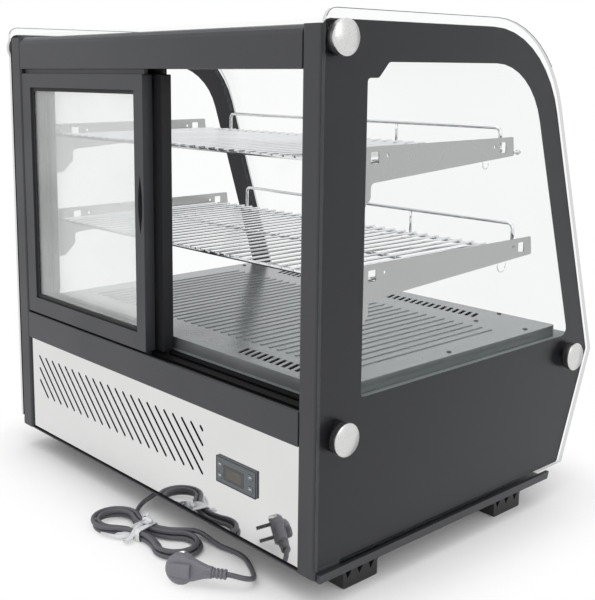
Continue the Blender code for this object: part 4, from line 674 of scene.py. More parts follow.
def smooth_curve(points: np.ndarray, spacing: float) -> np.ndarray:
    """Cubic curve through points: each span leaves along the line between its neighbours.

    Args:
        points: Route points.
        spacing: Distance between the points read from the curve.
    Returns:
        Points of the curve.
    """
    ends = np.concatenate((2 * points[:1] - points[1:2], points, 2 * points[-1:] - points[-2:-1]))
    spans = []
    for before, start, end, after in zip(ends, ends[1:], ends[2:], ends[3:]):
        count = max(2, round(float(np.linalg.norm(end - start)) / spacing))
        t = np.linspace(0.0, 1.0, count, endpoint=False)[:, None]
        curve = (end - before) * t + (2 * before - 5 * start + 4 * end - after) * t**2
        spans.append(start + (curve + (3 * start - before - 3 * end + after) * t**3) / 2)
    return np.concatenate((*spans, points[-1:]))


def frames_along(path: np.ndarray, up: Point = UPRIGHT) -> tuple[np.ndarray, np.ndarray]:
    """Side and rise of a path that nowhere runs along the up direction.

    The side is the tangent crossed with that direction, and the rise is square to both.

    Args:
        path: Points, one row each.
        up: Direction that the rise leans to.
    Returns:
        Two arrays of unit vectors, one row for each point.
    """
    tangent = np.gradient(path, axis=0)
    tangent /= np.linalg.norm(tangent, axis=1, keepdims=True)
    side = np.cross(tangent, np.array(up))
    side /= np.linalg.norm(side, axis=1, keepdims=True)
    return side, np.cross(side, tangent)


def swept_tube(name: str, path: np.ndarray, radius: float, sides: int = 16, up: Point = UPRIGHT) -> Piece:
    """Round tube along a path: path(s) + radius (cos a side(s) + sin a rise(s)), closed at its ends.

    Args:
        name: Name of the piece.
        path: Centre line.
        radius: Radius of the tube.
        sides: Points round the tube.
        up: Direction that the path nowhere runs along.
    Returns:
        The tube.
    """
    rows = (path, *frames_along(path, up))
    centre, side, rise = (np.concatenate((row[:1], row, row[-1:])) for row in rows)
    reach = np.concatenate(([CLOSED_RADIUS], np.full(len(path), radius), [CLOSED_RADIUS]))
    angle = np.arange(sides) * 2 * np.pi / sides
    ring = np.cos(angle)[None, :, None] * side[:, None] + np.sin(angle)[None, :, None] * rise[:, None]
    return grid_piece(name, centre[:, None] + reach[:, None, None] * ring)


def turned(name: str, profile: np.ndarray, centre: Vector, axis: Point, steps: int) -> Piece:
    """Surface of revolution: centre + along axis + radius (cos a, sin a) in the plane square to it.

    Args:
        name: Name of the piece.
        profile: Rows of (along, radius); it starts and ends on the axis or closes on itself.
        centre: Origin of the profile.
        axis: Direction of the axis.
        steps: Points round the axis.
    Returns:
        The turned piece.
    """
    basis = np.array(Vector(axis).to_track_quat("Z", "Y").to_matrix())
    angle = np.arange(steps) * 2 * np.pi / steps
    local = np.empty((len(profile), steps, 3))
    local[..., 0] = profile[:, 1:2] * np.cos(angle)
    local[..., 1] = profile[:, 1:2] * np.sin(angle)
    local[..., 2] = profile[:, 0:1]
    return grid_piece(name, local @ basis.T + np.array(centre))


def settle(thing: Piece, material: bpy.types.Material, body: str = CASE) -> Piece:
    """Dress a piece, seat it on a body and report it.

    Args:
        thing: The piece.
        material: Its material.
        body: Body that carries it.
    Returns:
        The same piece.
    """
    thing.data.materials.clear()
    thing.data.materials.append(material)
    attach(thing, body)
    LOG.info("%s: %d faces on %s", thing.name, len(thing.data.polygons), body)
    return thing


@dataclass
class CarriedNodes:
    """CAD nodes that stay as they are and get a procedural finish."""

    palette: Palette

    def dress(self) -> None:
        """Give each carried node its own finish or that of its slot in the record."""
        for name, node in frame["nodes"].items():
            finish = finish_of(name)
            node.data.materials.clear()
            node.data.materials.append(self.palette.of(finish))
            LOG.info("%s: %s", name, finish.name)


@dataclass
class SmoothedNodes:
    """Round and curved pieces, carried as merged copies so that they shade smoothly."""

    palette: Palette
    weld: float = 0.00001
    glass_crease: float = 30.0
    turned_crease: float = 35.0

    def creases(self) -> dict[str, float]:
        """Angle below which the edges of each copied node are smooth.

        Returns:
            Degrees by the name of the node.
        """
        caps = (f"{side}_{place}_cap" for side, _ in SIDES for place in CAP_PLACES)
        turned_nodes = dict.fromkeys(("cord_gland", "plug", *caps), self.turned_crease)
        return {"front_glass": self.glass_crease} | turned_nodes

    def copy(self, name: str, crease: float) -> Piece:
        """Merged and smoothed copy of a node.

        Args:
            name: The CAD node.
            crease: Angle in degrees from which an edge stays sharp.
        Returns:
            The copy, standing for the node.
        """
        shape = bmesh.new()
        shape.from_mesh(frame["nodes"][name].data)
        bmesh.ops.remove_doubles(shape, verts=shape.verts, dist=self.weld)
        mesh = bpy.data.meshes.new(f"smooth_{name}")
        shape.to_mesh(mesh)
        shape.free()
        mesh.polygons.foreach_set("use_smooth", np.ones(len(mesh.polygons), dtype=bool))
        mesh.set_sharp_from_angle(angle=math.radians(crease))
        thing = new_object(f"smooth_{name}", mesh)
        settle(thing, self.palette.of(finish_of(name)))
        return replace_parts(thing, name)

    def build(self) -> dict[str, Piece]:
        """Copy every round node.

        Returns:
            The copies by the name of their node.
        """
        return {name: self.copy(name, crease) for name, crease in self.creases().items()}


@dataclass
class GuardRails:
    """Bent wire rails along the shelf fronts, each with one post between its ends."""

    palette: Palette
    radius: float = 0.0025
    post_radius: float = 0.0020
    bend: float = 0.008
    left_end: float = -0.238
    post: float = 0.140
    bend_points: int = 9
    sides: int = 14

    def build(self) -> None:
        """Bend both rails.

        Each rail rises from its foot, turns through a quarter circle, runs along the shelf and
        turns down again. It takes its height, depth and right end from its CAD node.
        """
        angle = np.linspace(0.0, np.pi / 2, self.bend_points)
        arc = np.column_stack((1 - np.cos(angle), np.sin(angle) - 1)) * self.bend
        wire = self.palette.of(CHROME_WIRE)
        for level in ("upper", "lower"):
            low, high = box_of(f"{level}_guard_rail")
            right, crest, y = high[0] - self.radius, high[2] - self.radius, (low[1] + high[1]) / 2
            rising = np.array((self.left_end, crest)) + arc
            falling = np.array((right, crest)) + (arc * (-1, 1))[::-1]
            line = np.concatenate((((self.left_end, low[2]),), rising, falling, ((right, low[2]),)))
            path = np.column_stack((line[:, 0], np.full(len(line), y), line[:, 1]))
            rail = swept_tube(f"{level}_rail", path, self.radius, self.sides, INWARD)
            settle(rail, wire)
            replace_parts(rail, f"{level}_guard_rail")
            stand = np.array(((self.post, y, low[2]), (self.post, y, crest - self.post_radius)))
            post = swept_tube(f"{level}_rail_post", stand, self.post_radius, self.sides, INWARD)
            settle(post, wire)


@dataclass
class CapWashersAndShade:
    """Black rubber ring under the disc of each stand-off cap; its black also paints the shade that the disc
    casts on the pane.
    """

    palette: Palette
    bore: float = 0.0168
    radius: float = 0.0191
    face: float = 0.3512
    thickness: float = 0.0041
    steps: int = 48

    def build(self) -> None:
        """Turn one ring for each cap."""
        inner, outer, far = self.bore, self.radius, self.thickness
        ring = np.array(((0.0, inner), (far, inner), (far, outer), (0.0, outer), (0.0, inner)))
        for side, sign in SIDES:
            for place in CAP_PLACES:
                low, high = box_of(f"{side}_{place}_cap")
                centre = Vector((sign * self.face, *((low + high) / 2)[1:]))
                washer = turned(f"{side}_{place}_washer", ring, centre, (sign, 0, 0), self.steps)
                settle(washer, self.palette.of(RUBBER_AND_SHADE_BLACK))


@dataclass
class PaneArris:
    """Ground arris along the top of each side pane, which draws the pane's outline."""

    palette: Palette
    radius: float = 0.00045
    from_degrees: float = 150.0
    to_degrees: float = 40.0
    steps: int = 441
    sides: int = 8
    flatness: float = 1e-5

    def build(self) -> None:
        """Sweep a thin round along the upper outline of both outer faces."""
        for side, sign in SIDES:
            outline = self.outline(f"{side}_side_pane", sign)
            arris = swept_tube(f"{side}_pane_arris", outline, self.radius, self.sides, RIGHTWARD)
            settle(arris, self.palette.of(ARRIS_GREY))

    def outline(self, node: str, sign: int) -> np.ndarray:
        """Upper outline of a pane's outer face, from the rear to the front.

        The outline is convex, so its points are those that lie furthest out in each direction
        while the direction turns from the rear over the top to the front.

        Args:
            node: Name of the pane.
            sign: Side of the case that the pane is on.
        Returns:
            The points in order.
        """
        mesh = bpy.data.objects[node].data
        points = np.empty(3 * len(mesh.vertices))
        mesh.vertices.foreach_get("co", points)
        points = points.reshape(-1, 3)
        outward = points[:, 0] * sign
        face = points[outward > outward.max() - self.flatness]
        turn = np.radians(np.linspace(self.from_degrees, self.to_degrees, self.steps))
        furthest = (face[:, 1:] @ np.stack((np.cos(turn), np.sin(turn)))).argmax(0)
        return face[furthest[np.flatnonzero(np.diff(furthest, prepend=-1))]]


@dataclass
class DeckScrews:
    """Round-headed screws in the margin of the deck."""

    palette: Palette
    top: float = 0.25405
    radius: float = 0.0036
    height: float = 0.0017
    places: tuple[tuple[float, float], ...] = (
        (0.314, 0.277),
        (0.311, 0.456),
        (0.232, 0.505),
        (0.236, 0.442),
        (-0.314, 0.277),
        (-0.311, 0.456),
    )
    dome_points: int = 9
    steps: int = 24

    def build(self) -> None:
        """Turn each head as a low dome: radius cos a across, height sin a up."""
        angle = np.linspace(0.0, np.pi / 2, self.dome_points)
        dome = np.column_stack((self.height * np.sin(angle), self.radius * np.cos(angle)))
        profile = np.concatenate((((0.0, 0.0),), dome))
        for number, (x, depth) in enumerate(self.places):
            place = Vector((x, at_depth(depth), self.top))
            screw = turned(f"deck_screw_{number + 1}", profile, place, UPRIGHT, self.steps)
            settle(screw, self.palette.of(SCREW_DARK))


@dataclass
class ShelfFittings:
    """Wire clips that hang under the brackets and the pins in the front ends of the upper ones."""

    palette: Palette
    web: float = 0.3300
    wire: float = 0.0008
    clips: tuple[tuple[str, float, float, float], ...] = (
        ("upper", 0.312, 0.324, 0.5040),
        ("lower", 0.354, 0.372, 0.3652),
    )
    clip_drop: float = 0.003
    bend_points: int = 17
    wire_sides: int = 8
    pin_depth: float = 0.3790
    pin_height: float = 0.5135
    pin_steps: int = 20
    pin: tuple[Pair, ...] = (
        (0.0, 0.0),
        (0.0, 0.0018),
        (0.0085, 0.0018),
        (0.0085, 0.0034),
        (0.0105, 0.0034),
        (0.0105, 0.0015),
        (0.0150, 0.0012),
        (0.0152, 0.0),
    )

    def clip(self, name: str, x: float, rear: float, front: float, edge: float) -> Piece:
        """Hook of wire: straight down, half a turn forward and a short rise.

        Args:
            name: Name of the clip.
            x: Where the bracket's web stands.
            rear: Depth of the hanging leg.
            front: Depth of the rising leg.
            edge: Height of the bracket's lower edge.
        Returns:
            The clip.
        """
        reach = (front - rear) / 2
        angle = np.linspace(np.pi, 2 * np.pi, self.bend_points)
        height = edge - self.clip_drop + reach * np.sin(angle)
        bend = np.column_stack((rear + reach + reach * np.cos(angle), height))
        line = np.concatenate((((rear, edge),), bend, ((front, edge - self.clip_drop / 2),)))
        path = np.column_stack((np.full(len(line), x), at_depth(line[:, 0]), line[:, 1]))
        return swept_tube(name, path, self.wire, self.wire_sides, RIGHTWARD)

    def build(self) -> None:
        """Hang the clips and set the pins."""
        profile = np.array(self.pin)
        for side, sign in SIDES:
            for level, rear, front, edge in self.clips:
                clip = self.clip(f"{level}_{side}_clip", sign * self.web, rear, front, edge)
                settle(clip, self.palette.of(CHROME_WIRE))
            place = Vector((sign * self.web, at_depth(self.pin_depth), self.pin_height))
            pin = turned(f"upper_{side}_pin", profile, place, INWARD, self.pin_steps)
            settle(pin, self.palette.of(ZINC))


@dataclass
class ControllerTrim:
    """Dark rim round the bezel, brown display behind the window and light marks on the keys."""

    palette: Palette
    border: float = 0.0003
    rim: float = 0.0013
    proud: float = 0.0003
    seat: float = 0.00004
    display: Pair = (0.0290, 0.0135)
    mark: Pair = (0.0042, 0.0011)
    lift: float = 0.00008

    def plate(self, name: str, node: str, size: Pair) -> Piece:
        """Thin upright plate that lies in front of the middle of a node's service face.

        Args:
            name: Name of the plate.
            node: The CAD node behind it.
            size: Width and height.
        Returns:
            The plate.
        """
        low, high = box_of(node)
        centre = np.array(((low[0] + high[0]) / 2, low[1] - self.lift, (low[2] + high[2]) / 2))
        outline = np.array(((-1, -1), (1, -1), (1, 1), (-1, 1))) * np.array(size) / 2
        thickness = self.lift / 2
        rings = []
        for share, depth in ((0.0, 0.0), (1.0, 0.0), (1.0, thickness), (0.0, thickness)):
            x, z = outline.T * share
            rings.append(np.column_stack((x, np.full_like(x, depth), z)) + centre)
        return grid_piece(name, np.stack(rings), smooth=False)

    def bezel_rim(self) -> Piece:
        """Frame of square section that lies on the border of the bezel.

        Returns:
            The frame.
        """
        low, high = box_of("controller_body")
        corners = np.array(((low[0], low[2]), (high[0], low[2]), (high[0], high[2]), (low[0], high[2])))
        inward = np.array(((1, 1), (-1, 1), (-1, -1), (1, -1)))
        near, far = low[1] - self.proud, low[1] - self.seat
        outer, inner = self.border, self.rim
        rings = []
        for inset, y in ((outer, far), (outer, near), (inner, near), (inner, far), (outer, far)):
            x, z = (corners + inward * inset).T
            rings.append(np.column_stack((x, np.full_like(x, y), z)))
        return grid_piece("bezel_rim", np.stack(rings), smooth=False)

    def build(self) -> None:
        """Set the rim, the display and the marks."""
        settle(self.bezel_rim(), self.palette.of(MOULDED_BLACK))
        display = self.plate("display_pane", "controller_lens", self.display)
        settle(display, self.palette.of(DISPLAY_BROWN))
        for key in KEY_PLACES:
            mark = self.plate(f"{key}_mark", f"{key}_key", self.mark)
            settle(mark, self.palette.of(TIE_WHITE), f"{key}_key_body")


@dataclass
class PlugGrip:
    """Finger grip and shoulder on the head of the plug, and the two earth strips in its rim."""

    palette: Palette
    centre: np.ndarray
    heading: np.ndarray
    pins: np.ndarray
    radius: float = 0.0192
    half_thickness: float = 0.0095
    sections: int = 25
    start: float = -0.0150
    end: float = 0.0172
    rise: float = 0.0085
    half_width: float = 0.0088
    grip_root: float = 0.78
    grip_points: int = 21
    grip_exponent: float = 0.55
    narrowing: float = 0.25
    slope: Pair = (1.15, 0.35)
    blunt_end: float = 1.03
    neck_reach: Pair = (-0.0400, -0.0060)
    neck_heights: Pair = (0.0070, 0.0152)
    neck_widths: Pair = (0.0068, 0.0090)
    neck_points: int = 40
    neck_exponent: float = 0.7
    strip_sheet: float = 0.0002
    strip_half_angle: float = 0.16
    strip_points: int = 7
    strip_profile: tuple[Pair, ...] = ((-0.2, 0.0), (0.98, 0.0), (1.02, 0.0010), (1.02, 0.0070))

    def build(self) -> list[Piece]:
        """Make the grip, the shoulder and the strips.

        Returns:
            The new pieces.
        """
        moulded = self.palette.of(PLUG_GREY)
        pieces = [settle(piece, moulded) for piece in (self.grip(), self.neck())]
        for number, sign in enumerate((-1, 1)):
            pieces.append(self.earth_strip(f"earth_strip_{number + 1}", sign))
        return pieces

    def grip(self) -> Piece:
        """Wedge that fingers hold on the back of the head.

        Its sections stand square to the heading, and each is a half superellipse. The half width
        narrows by a quarter of s^2 and the height falls in a straight slope along the heading. Both
        shrink at the far end by the roots of 1.03 - s^8 and 1.03 - s^4, so it slopes to the rim.

        Returns:
            The wedge, closed at its ends.
        """
        share = np.linspace(0.0, 1.0, self.sections)
        angle = np.linspace(0.0, np.pi, self.grip_points)
        along = self.start + (self.end - self.start) * share
        width = self.half_width * (1.0 - self.narrowing * share**2)
        width = width * np.sqrt(np.clip(self.blunt_end - share**8, 0.0, 1.0))
        height = self.rise * np.clip(self.slope[0] - self.slope[1] * share, 0.0, 1.0)
        height = height * np.sqrt(np.clip(self.blunt_end - share**4, 0.0, 1.0))
        back = -self.pins
        points = self.centre + back * (self.half_thickness * self.grip_root)
        points = points + along[:, None, None] * self.heading
        across = squared(np.cos(angle), self.grip_exponent)
        points = points + offsets(width, across, np.cross(self.heading, back))
        points = points + offsets(height, squared(np.sin(angle), self.grip_exponent), back)
        return grid_piece("plug_grip", capped(np.concatenate((points, points[:, :1]), 1)), joined=False)

    def neck(self) -> Piece:
        """Moulded shoulder that widens from the ribbed sleeve to the head.

        Its sections stand square to the heading. Each is a superellipse with exponent 0.7, whose half
        height and half width grow along the heading by the smooth step 3 s^2 - 2 s^3.

        Returns:
            The shoulder, closed at its ends.
        """
        share = np.linspace(0.0, 1.0, self.sections)
        angle = np.arange(self.neck_points) * 2 * np.pi / self.neck_points
        step = 3 * share**2 - 2 * share**3
        along = self.neck_reach[0] + (self.neck_reach[1] - self.neck_reach[0]) * share
        height = self.neck_heights[0] + (self.neck_heights[1] - self.neck_heights[0]) * step
        width = self.neck_widths[0] + (self.neck_widths[1] - self.neck_widths[0]) * step
        points = self.centre + along[:, None, None] * self.heading
        up = squared(np.cos(angle), self.neck_exponent)
        points = points + offsets(height, up, np.cross(self.heading, self.pins))
        points = points + offsets(width, squared(np.sin(angle), self.neck_exponent), self.pins)
        return grid_piece("plug_neck", capped(points))

    def earth_strip(self, name: str, sign: int) -> Piece:
        """Bright strip across the rim on one side.

        Its profile is carried along a short arc of the rim: levels are shares of the half thickness
        towards the pins, and insets are measured in from the rim.

        Args:
            name: Name of the strip.
            sign: Side of the rim, to the left or right of the heading.
        Returns:
            The strip.
        """
        side = np.cross(self.heading, self.pins)
        angle = np.linspace(-self.strip_half_angle, self.strip_half_angle, self.strip_points)
        rim = sign * np.cos(angle)[:, None] * side + np.sin(angle)[:, None] * self.heading
        rows = [
            self.centre + rim * (self.radius - inset) + self.pins * self.half_thickness * level
            for level, inset in self.strip_profile
        ]
        strip = thicken(grid_piece(name, np.stack(rows), joined=False), self.strip_sheet)
        return settle(strip, self.palette.of(EARTH_METAL))


@dataclass
class TieFilm:
    """Knot of the plastic tie and its loose twisted ends on the floor."""

    palette: Palette
    knot: Point = (0.0590, -0.3165, 0.0205)
    knot_size: Point = (0.0075, 0.0060, 0.0045)
    knot_grid: tuple[int, int] = (17, 32)
    wide_fold: float = 0.16
    fine_fold: float = 0.09
    ends: tuple[tuple[Point, ...], ...] = (
        (
            (0.0590, -0.3190, 0.0215),
            (0.0560, -0.3330, 0.0160),
            (0.0520, -0.3460, 0.0075),
            (0.0390, -0.3560, 0.0054),
            (0.0200, -0.3620, 0.0050),
        ),
        (
            (0.0600, -0.3200, 0.0205),
            (0.0620, -0.3340, 0.0180),
            (0.0640, -0.3460, 0.0090),
            (0.0650, -0.3530, 0.0048),
            (0.0660, -0.3570, 0.0040),
        ),
        (
            (0.0580, -0.3150, 0.0220),
            (0.0530, -0.3110, 0.0245),
            (0.0480, -0.3090, 0.0230),
            (0.0440, -0.3100, 0.0200),
            (0.0420, -0.3120, 0.0180),
        ),
    )
    widths: tuple[Pair, ...] = ((0.0035, 0.0105), (0.0030, 0.0050), (0.0030, 0.0045))
    flare: float = 1.5
    twist: float = 2.2
    crease: float = 0.0012
    crease_waves: Pair = (9.0, 5.0)
    crease_growth: Pair = (0.35, 0.65)
    spacing: float = 0.0012
    columns: int = 13
    film: float = 0.0003

    def build(self) -> list[Piece]:
        """Make the knot and the ends.

        Returns:
            The new pieces.
        """
        material = self.palette.of(TIE_FILM)
        pieces = [settle(self.make_knot(), material)]
        for number, (route, widths) in enumerate(zip(self.ends, self.widths)):
            ribbon = self.ribbon(f"tie_end_{number + 1}", np.array(route), widths)
            pieces.append(settle(ribbon, material))
        return pieces

    def make_knot(self) -> Piece:
        """Round lump whose radius swells in folds: 1 + 0.16 sin(3 u + 2 sin v) + 0.09 cos(5 u - 3 v).

        Returns:
            The knot.
        """
        rows, columns = self.knot_grid
        turn = np.arange(columns) * 2 * np.pi / columns
        u, v = np.meshgrid(turn, np.linspace(-np.pi / 2, np.pi / 2, rows))
        swell = 1 + self.wide_fold * np.sin(3 * u + 2 * np.sin(v)) + self.fine_fold * np.cos(5 * u - 3 * v)
        ball = np.stack((np.cos(v) * np.cos(u), np.cos(v) * np.sin(u), np.sin(v)), -1)
        points = np.array(self.knot) + ball * swell[..., None] * np.array(self.knot_size)
        return grid_piece("tie_knot", points)

    def ribbon(self, name: str, route: np.ndarray, widths: Pair) -> Piece:
        """Creased ribbon along a route: path(s) + t width(s) (cos twist side + sin twist rise) with folds.

        The twist dies out towards the loose end, where the ribbon is wider and its folds are higher.

        Args:
            name: Name of the ribbon.
            route: Points that its middle follows.
            widths: Half widths at the knot and at the loose end.
        Returns:
            The ribbon.
        """
        path = smooth_curve(route, self.spacing)
        share = np.linspace(0.0, 1.0, len(path))[:, None]
        across = np.linspace(-1.0, 1.0, self.columns)[None, :]
        side, rise = (rows[:, None] for rows in frames_along(path))
        twist = (self.twist * (1 - share) ** 2)[..., None]
        reach = widths[0] + (widths[1] - widths[0]) * share**self.flare
        waves = np.sin(across * self.crease_waves[0] + share * self.crease_waves[1])
        fold = self.crease * waves * (self.crease_growth[0] + self.crease_growth[1] * share)
        points = path[:, None] + (across * reach)[..., None] * (np.cos(twist) * side + np.sin(twist) * rise)
        ribbon = grid_piece(name, points + fold[..., None] * rise, joined=False)
        return thicken(ribbon, self.film)


@dataclass
class MainsLead:
    """Mains lead from its gland through the tied hank to the plug, as one smooth cord."""

    palette: Palette
    diameter: float = 0.0064
    spacing: float = 0.002
    gland_root: Point = (0.010, 0.044, 0.0357)
    gland_length: float = 0.024
    gland_direction: Point = (-0.50, -0.66, -0.56)
    hank_x: float = 0.0658
    hank_setback: float = 0.0409
    hank_turn: float = 12.0
    lobe: float = 0.022
    lobe_offset: float = 0.056
    waist: float = 0.004
    pitch: float = 0.0072
    start: float = -1 / 12
    reverse: float = 1.5
    end: float = 37 / 12
    climb_turns: float = 0.5
    hank_points: int = 700
    run_share: float = 1 / 3
    base: float = 0.0050
    plug_entry: Point = (0.1714, -0.0409, 0.0210)
    plug_heading: Point = (-0.930, -0.3665, 0.0)
    plug_neck: float = 0.058
    plug_tilt: float = 14.0
    lead_route: tuple[Point, ...] = (
        (-0.0630, 0.0680, 0.0118),
        (-0.0632, 0.0560, 0.0074),
        (-0.0572, 0.0442, 0.0054),
    )
    tail_route: tuple[Point, ...] = (
        (0.0548, 0.0383, 0.0122),
        (0.0640, 0.0394, 0.0116),
        (0.0745, 0.0384, 0.0102),
        (0.0865, 0.0366, 0.0080),
        (0.1000, 0.0357, 0.0056),
        (0.1155, 0.0366, 0.0042),
        (0.1310, 0.0355, 0.0038),
        (0.1460, 0.0300, 0.0038),
        (0.1600, 0.0205, 0.0038),
        (0.1735, 0.0090, 0.0040),
        (0.1845, -0.0030, 0.0062),
        (0.1906, -0.0155, 0.0108),
        (0.1890, -0.0285, 0.0165),
    )

    def place(self, points: np.ndarray) -> np.ndarray:
        """Turn points from the hank's axes into the case's.

        Args:
            points: Points, one row each.
        Returns:
            The same points in the case.
        """
        turn = math.radians(self.hank_turn)
        cosine, sine = math.cos(turn), math.sin(turn)
        basis = np.array(((cosine, -sine, 0.0), (sine, cosine, 0.0), UPRIGHT))
        return points @ basis.T + np.array((self.hank_x, at_depth(-self.hank_setback), 0.0))

    def hank(self) -> np.ndarray:
        """Centre line of the hank in its own axes.

        Two round lobes are joined by hollow runs, all arcs. A turn's distance from the innermost loop
        grows by one pitch a turn on both sides of the reverse, where the cord climbs one layer.

        Returns:
            Points, one row each.
        """
        turn = np.linspace(self.start, self.end, self.hank_points)
        hollow = (self.lobe_offset**2 + self.waist**2 - self.lobe**2) / (2 * (self.lobe - self.waist))
        meeting = math.asin(self.lobe_offset / (self.lobe + hollow))
        half = np.mod(turn, 0.5) * 2
        quarter = np.minimum(half, 1 - half) * 2
        run = meeting * quarter / self.run_share
        bend = (math.pi / 2 + meeting) * (1 - quarter) / (1 - self.run_share)
        on_run = (quarter < self.run_share)[:, None]
        run_normal = np.stack((-np.sin(run), np.cos(run)), 1)
        bend_normal = np.stack((np.cos(bend), np.sin(bend)), 1)
        normal = np.where(on_run, run_normal, bend_normal)
        run_point = np.array((0.0, self.waist + hollow)) - normal * hollow
        bend_point = np.array((self.lobe_offset, 0.0)) + normal * self.lobe
        point = np.where(on_run, run_point, bend_point)
        along = np.where(np.mod(turn, 1.0) < 0.5, 1.0, -1.0)
        flip = np.stack((along, np.where(half < 0.5, along, -along)), 1)
        spiral = np.abs(turn - self.reverse)[:, None] * self.pitch
        climb = np.clip((turn - self.reverse + self.climb_turns / 2) / self.climb_turns, 0.0, 1.0)
        height = self.base + self.pitch * climb * climb * (3 - 2 * climb)
        return np.column_stack((point * flip + normal * flip * spiral, height))

    def route(self) -> np.ndarray:
        """Whole centre line from the gland's tip to the plug.

        Returns:
            Points, one row each.
        """
        heading = np.array(Vector(self.gland_direction).normalized())
        x, depth, height = self.gland_root
        tip = np.array((x, at_depth(depth), height)) + heading * self.gland_length
        hank = self.hank()
        run_in = (hank[0] - hank[1]) / np.linalg.norm(hank[0] - hank[1]) * self.diameter
        run_out = (hank[-1] - hank[-2]) / np.linalg.norm(hank[-1] - hank[-2]) * self.diameter
        arriving = hank[0] + np.outer((2, 1, 0), run_in)
        leaving = hank[-1] + np.outer((0, 1, 2), run_out)
        approach = self.place(np.concatenate((self.lead_route, arriving)))
        lead = np.concatenate(((tip, tip + heading * self.diameter), approach))
        aim = np.array(Vector(self.plug_heading).normalized()) * self.diameter
        entry = np.array(self.plug_entry)
        tail = self.place(np.concatenate((leaving, self.tail_route, (entry - aim, entry))))
        lead, tail = (smooth_curve(points, self.spacing) for points in (lead, tail))
        return np.concatenate((lead[:-1], self.place(hank), tail[1:]))

    def plug_frame(self) -> tuple[np.ndarray, np.ndarray, np.ndarray]:
        """Middle of the plug's head, the way its neck points to it and the way its pins point.

        Returns:
            A point and two unit vectors.
        """
        origin, ahead, entry = self.place(np.array((ORIGIN, self.plug_heading, self.plug_entry)))
        heading = (ahead - origin) / np.linalg.norm(ahead - origin)
        tilt = math.radians(self.plug_tilt)
        pins = np.cross(heading, UPRIGHT) * math.cos(tilt) - np.array(UPRIGHT) * math.sin(tilt)
        return entry + heading * self.plug_neck, heading, pins

    def build(self, plug: Piece) -> None:
        """Args:
            plug: The plug on its far end; it is not used.
        """
        path = self.route()
        cord = swept_tube("mains_cord", path, self.diameter / 2)
        settle(cord, self.palette.of(CORD_GREY))
        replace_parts(cord, "cord_lead", "cord_hank", "cord_tail")
        grip = PlugGrip(self.palette, *self.plug_frame()).build()
        film = TieFilm(self.palette).build()


@dataclass(frozen=True)
class Lamp:
    """Square soft lamp: where it hangs, the point that it looks at, its edge and its watts."""

    name: str
    place: Point
    aim: Point
    size: float
    power: float

    def hang(self) -> None:
        """Put the lamp into the scene."""
        data = bpy.data.lights.new(self.name, "AREA")
        data.shape = "SQUARE"
        data.size = self.size
        data.energy = self.power
        lamp = new_object(self.name, data)
        lamp.location = self.place
        lamp.rotation_euler = (Vector(self.aim) - Vector(self.place)).to_track_quat("-Z", "Y").to_euler()


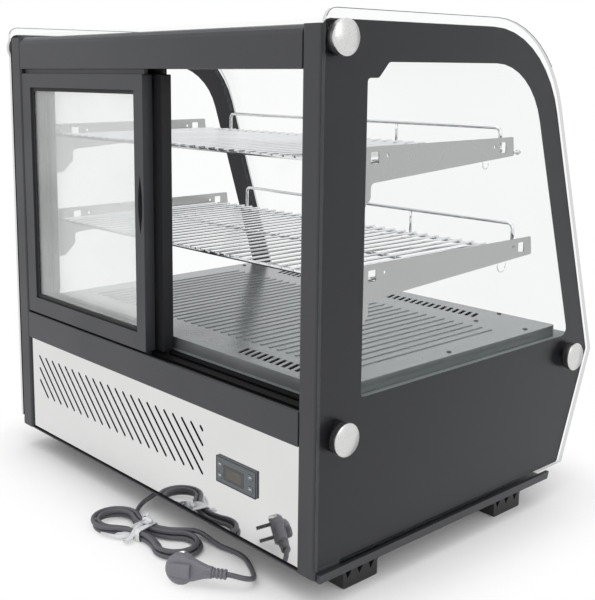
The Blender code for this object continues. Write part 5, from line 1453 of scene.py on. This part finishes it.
@dataclass
class Stage:
    """White floor, surrounding light, lamps and camera."""

    floor_radius: float = 7.0
    floor_sides: int = 64
    floor_scale: float = 2.0
    floor_tones: tuple[Colour, Colour] = ((0.96, 0.96, 0.96), (0.98, 0.98, 0.98))
    floor_glow: Pair = (0.04, 1.0)
    glow_reach: Pair = (0.0, 0.14)
    daylight: float = 0.94
    lamps: tuple[Lamp, ...] = (
        Lamp("ceiling_lamp", (0.2, -0.4, 2.6), (0.0, 0.0, 0.2), 2.6, 20.0),
        Lamp("side_lamp", (2.6, -0.2, 1.6), (0.0, 0.0, 0.3), 1.8, 8.0),
    )
    focal_pixels: float = 989.08
    frame_pixels: tuple[int, int] = (595, 600)
    centre_pixel: Pair = (247.74, 235.26)
    eye: Point = (1.0973, -1.0353, 0.6184)
    yaw: float = 49.1964
    pitch: float = 9.3731
    roll: float = 0.1691
    sensor: float = 36.0

    def floor(self) -> None:
        """Lay a round floor."""
        mesh = bpy.data.meshes.new("floor")
        angle = np.arange(self.floor_sides) * 2 * np.pi / self.floor_sides
        points = np.column_stack((np.cos(angle), np.sin(angle), np.zeros_like(angle))) * self.floor_radius
        mesh.from_pydata(points.tolist(), [], [list(range(self.floor_sides))])
        mesh.materials.append(self.pale_floor())
        new_object("floor", mesh)

    def pale_floor(self) -> bpy.types.Material:
        """Pale paint that keeps the object's shadow and turns into the white background further out.

        The distance is that from the footprint: what is left of each coordinate outside half the
        width and half the depth, taken as one length.

        Returns:
            The floor's material.
        """
        material = bpy.data.materials.new("pale_floor")
        tree = Tree(material)
        paint = tree.add("ShaderNodeBsdfDiffuse")
        tree.join(tree.tint(tree.noise(self.floor_scale), *self.floor_tones), paint.inputs["Color"])
        glow = tree.add("ShaderNodeEmission")
        footprint = (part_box("base_pan")[1][0], CASE_DEPTH / 2, 0.0)
        beyond = tree.vector("SUBTRACT", tree.vector("ABSOLUTE", tree.coordinates()), footprint)
        outside = tree.vector("MAXIMUM", beyond, ORIGIN)
        distance = tree.operate("ShaderNodeVectorMath", "LENGTH", outside).outputs["Value"]
        fade = tree.mapped(distance, self.glow_reach, self.floor_glow, "SMOOTHSTEP")
        share = tree.math("MULTIPLY", tree.seen(), fade)
        tree.show(tree.blend(share, paint.outputs["BSDF"], glow.outputs["Emission"]))
        return material

    def world(self) -> None:
        """White surroundings for sight and mirrors, and a softer level for light."""
        world = bpy.data.worlds.new("studio")
        bpy.context.scene.world = world
        tree = Tree(world, "ShaderNodeOutputWorld")
        skies = []
        for level in (self.daylight, 1.0):
            sky = tree.add("ShaderNodeBackground")
            sky.inputs["Color"].default_value = (*WHITE, 1.0)
            sky.inputs["Strength"].default_value = level
            skies.append(sky.outputs["Background"])
        tree.show(tree.blend(tree.seen(), *skies))

    def camera(self) -> None:
        """Camera of the photograph: its place, its turn and its off-centre frame."""
        yaw, pitch, roll = (math.radians(part) for part in (self.yaw, self.pitch, self.roll))
        ahead = Vector((-math.sin(yaw) * math.cos(pitch), math.cos(yaw) * math.cos(pitch), -math.sin(pitch)))
        right = ahead.cross(Vector(UPRIGHT)).normalized()
        above = right.cross(ahead)
        turned_right = right * math.cos(roll) + above * math.sin(roll)
        turned_above = above * math.cos(roll) - right * math.sin(roll)
        basis = Matrix((turned_right, turned_above, -ahead)).transposed().to_4x4()
        data = bpy.data.cameras.new("camera")
        width, height = self.frame_pixels
        longest = max(width, height)
        data.sensor_width = self.sensor
        data.sensor_fit = "AUTO"
        data.lens = self.focal_pixels / longest * self.sensor
        data.shift_x = (width / 2 - self.centre_pixel[0]) / longest
        data.shift_y = -(height / 2 - self.centre_pixel[1]) / longest
        camera = new_object("camera", data)
        camera.matrix_world = Matrix.Translation(self.eye) @ basis
        bpy.context.scene.camera = camera

    def build(self) -> None:
        """Set up the stage."""
        bpy.context.scene.view_settings.view_transform = "Standard"
        self.camera()
        self.floor()
        self.world()
        for lamp in self.lamps:
            lamp.hang()


def main() -> None:
    """Build the stage and every piece of the looks."""
    logging.basicConfig(level=logging.INFO, format="%(message)s")
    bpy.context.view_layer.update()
    palette = Palette()
    Stage().build()
    copies = SmoothedNodes(palette).build()
    MainsLead(palette).build(copies["plug"])
    GuardRails(palette).build()
    CapWashersAndShade(palette).build()
    PaneArris(palette).build()
    DeckScrews(palette).build()
    ShelfFittings(palette).build()
    ControllerTrim(palette).build()
    CarriedNodes(palette).dress()


if __name__ == "__main__":
    main()
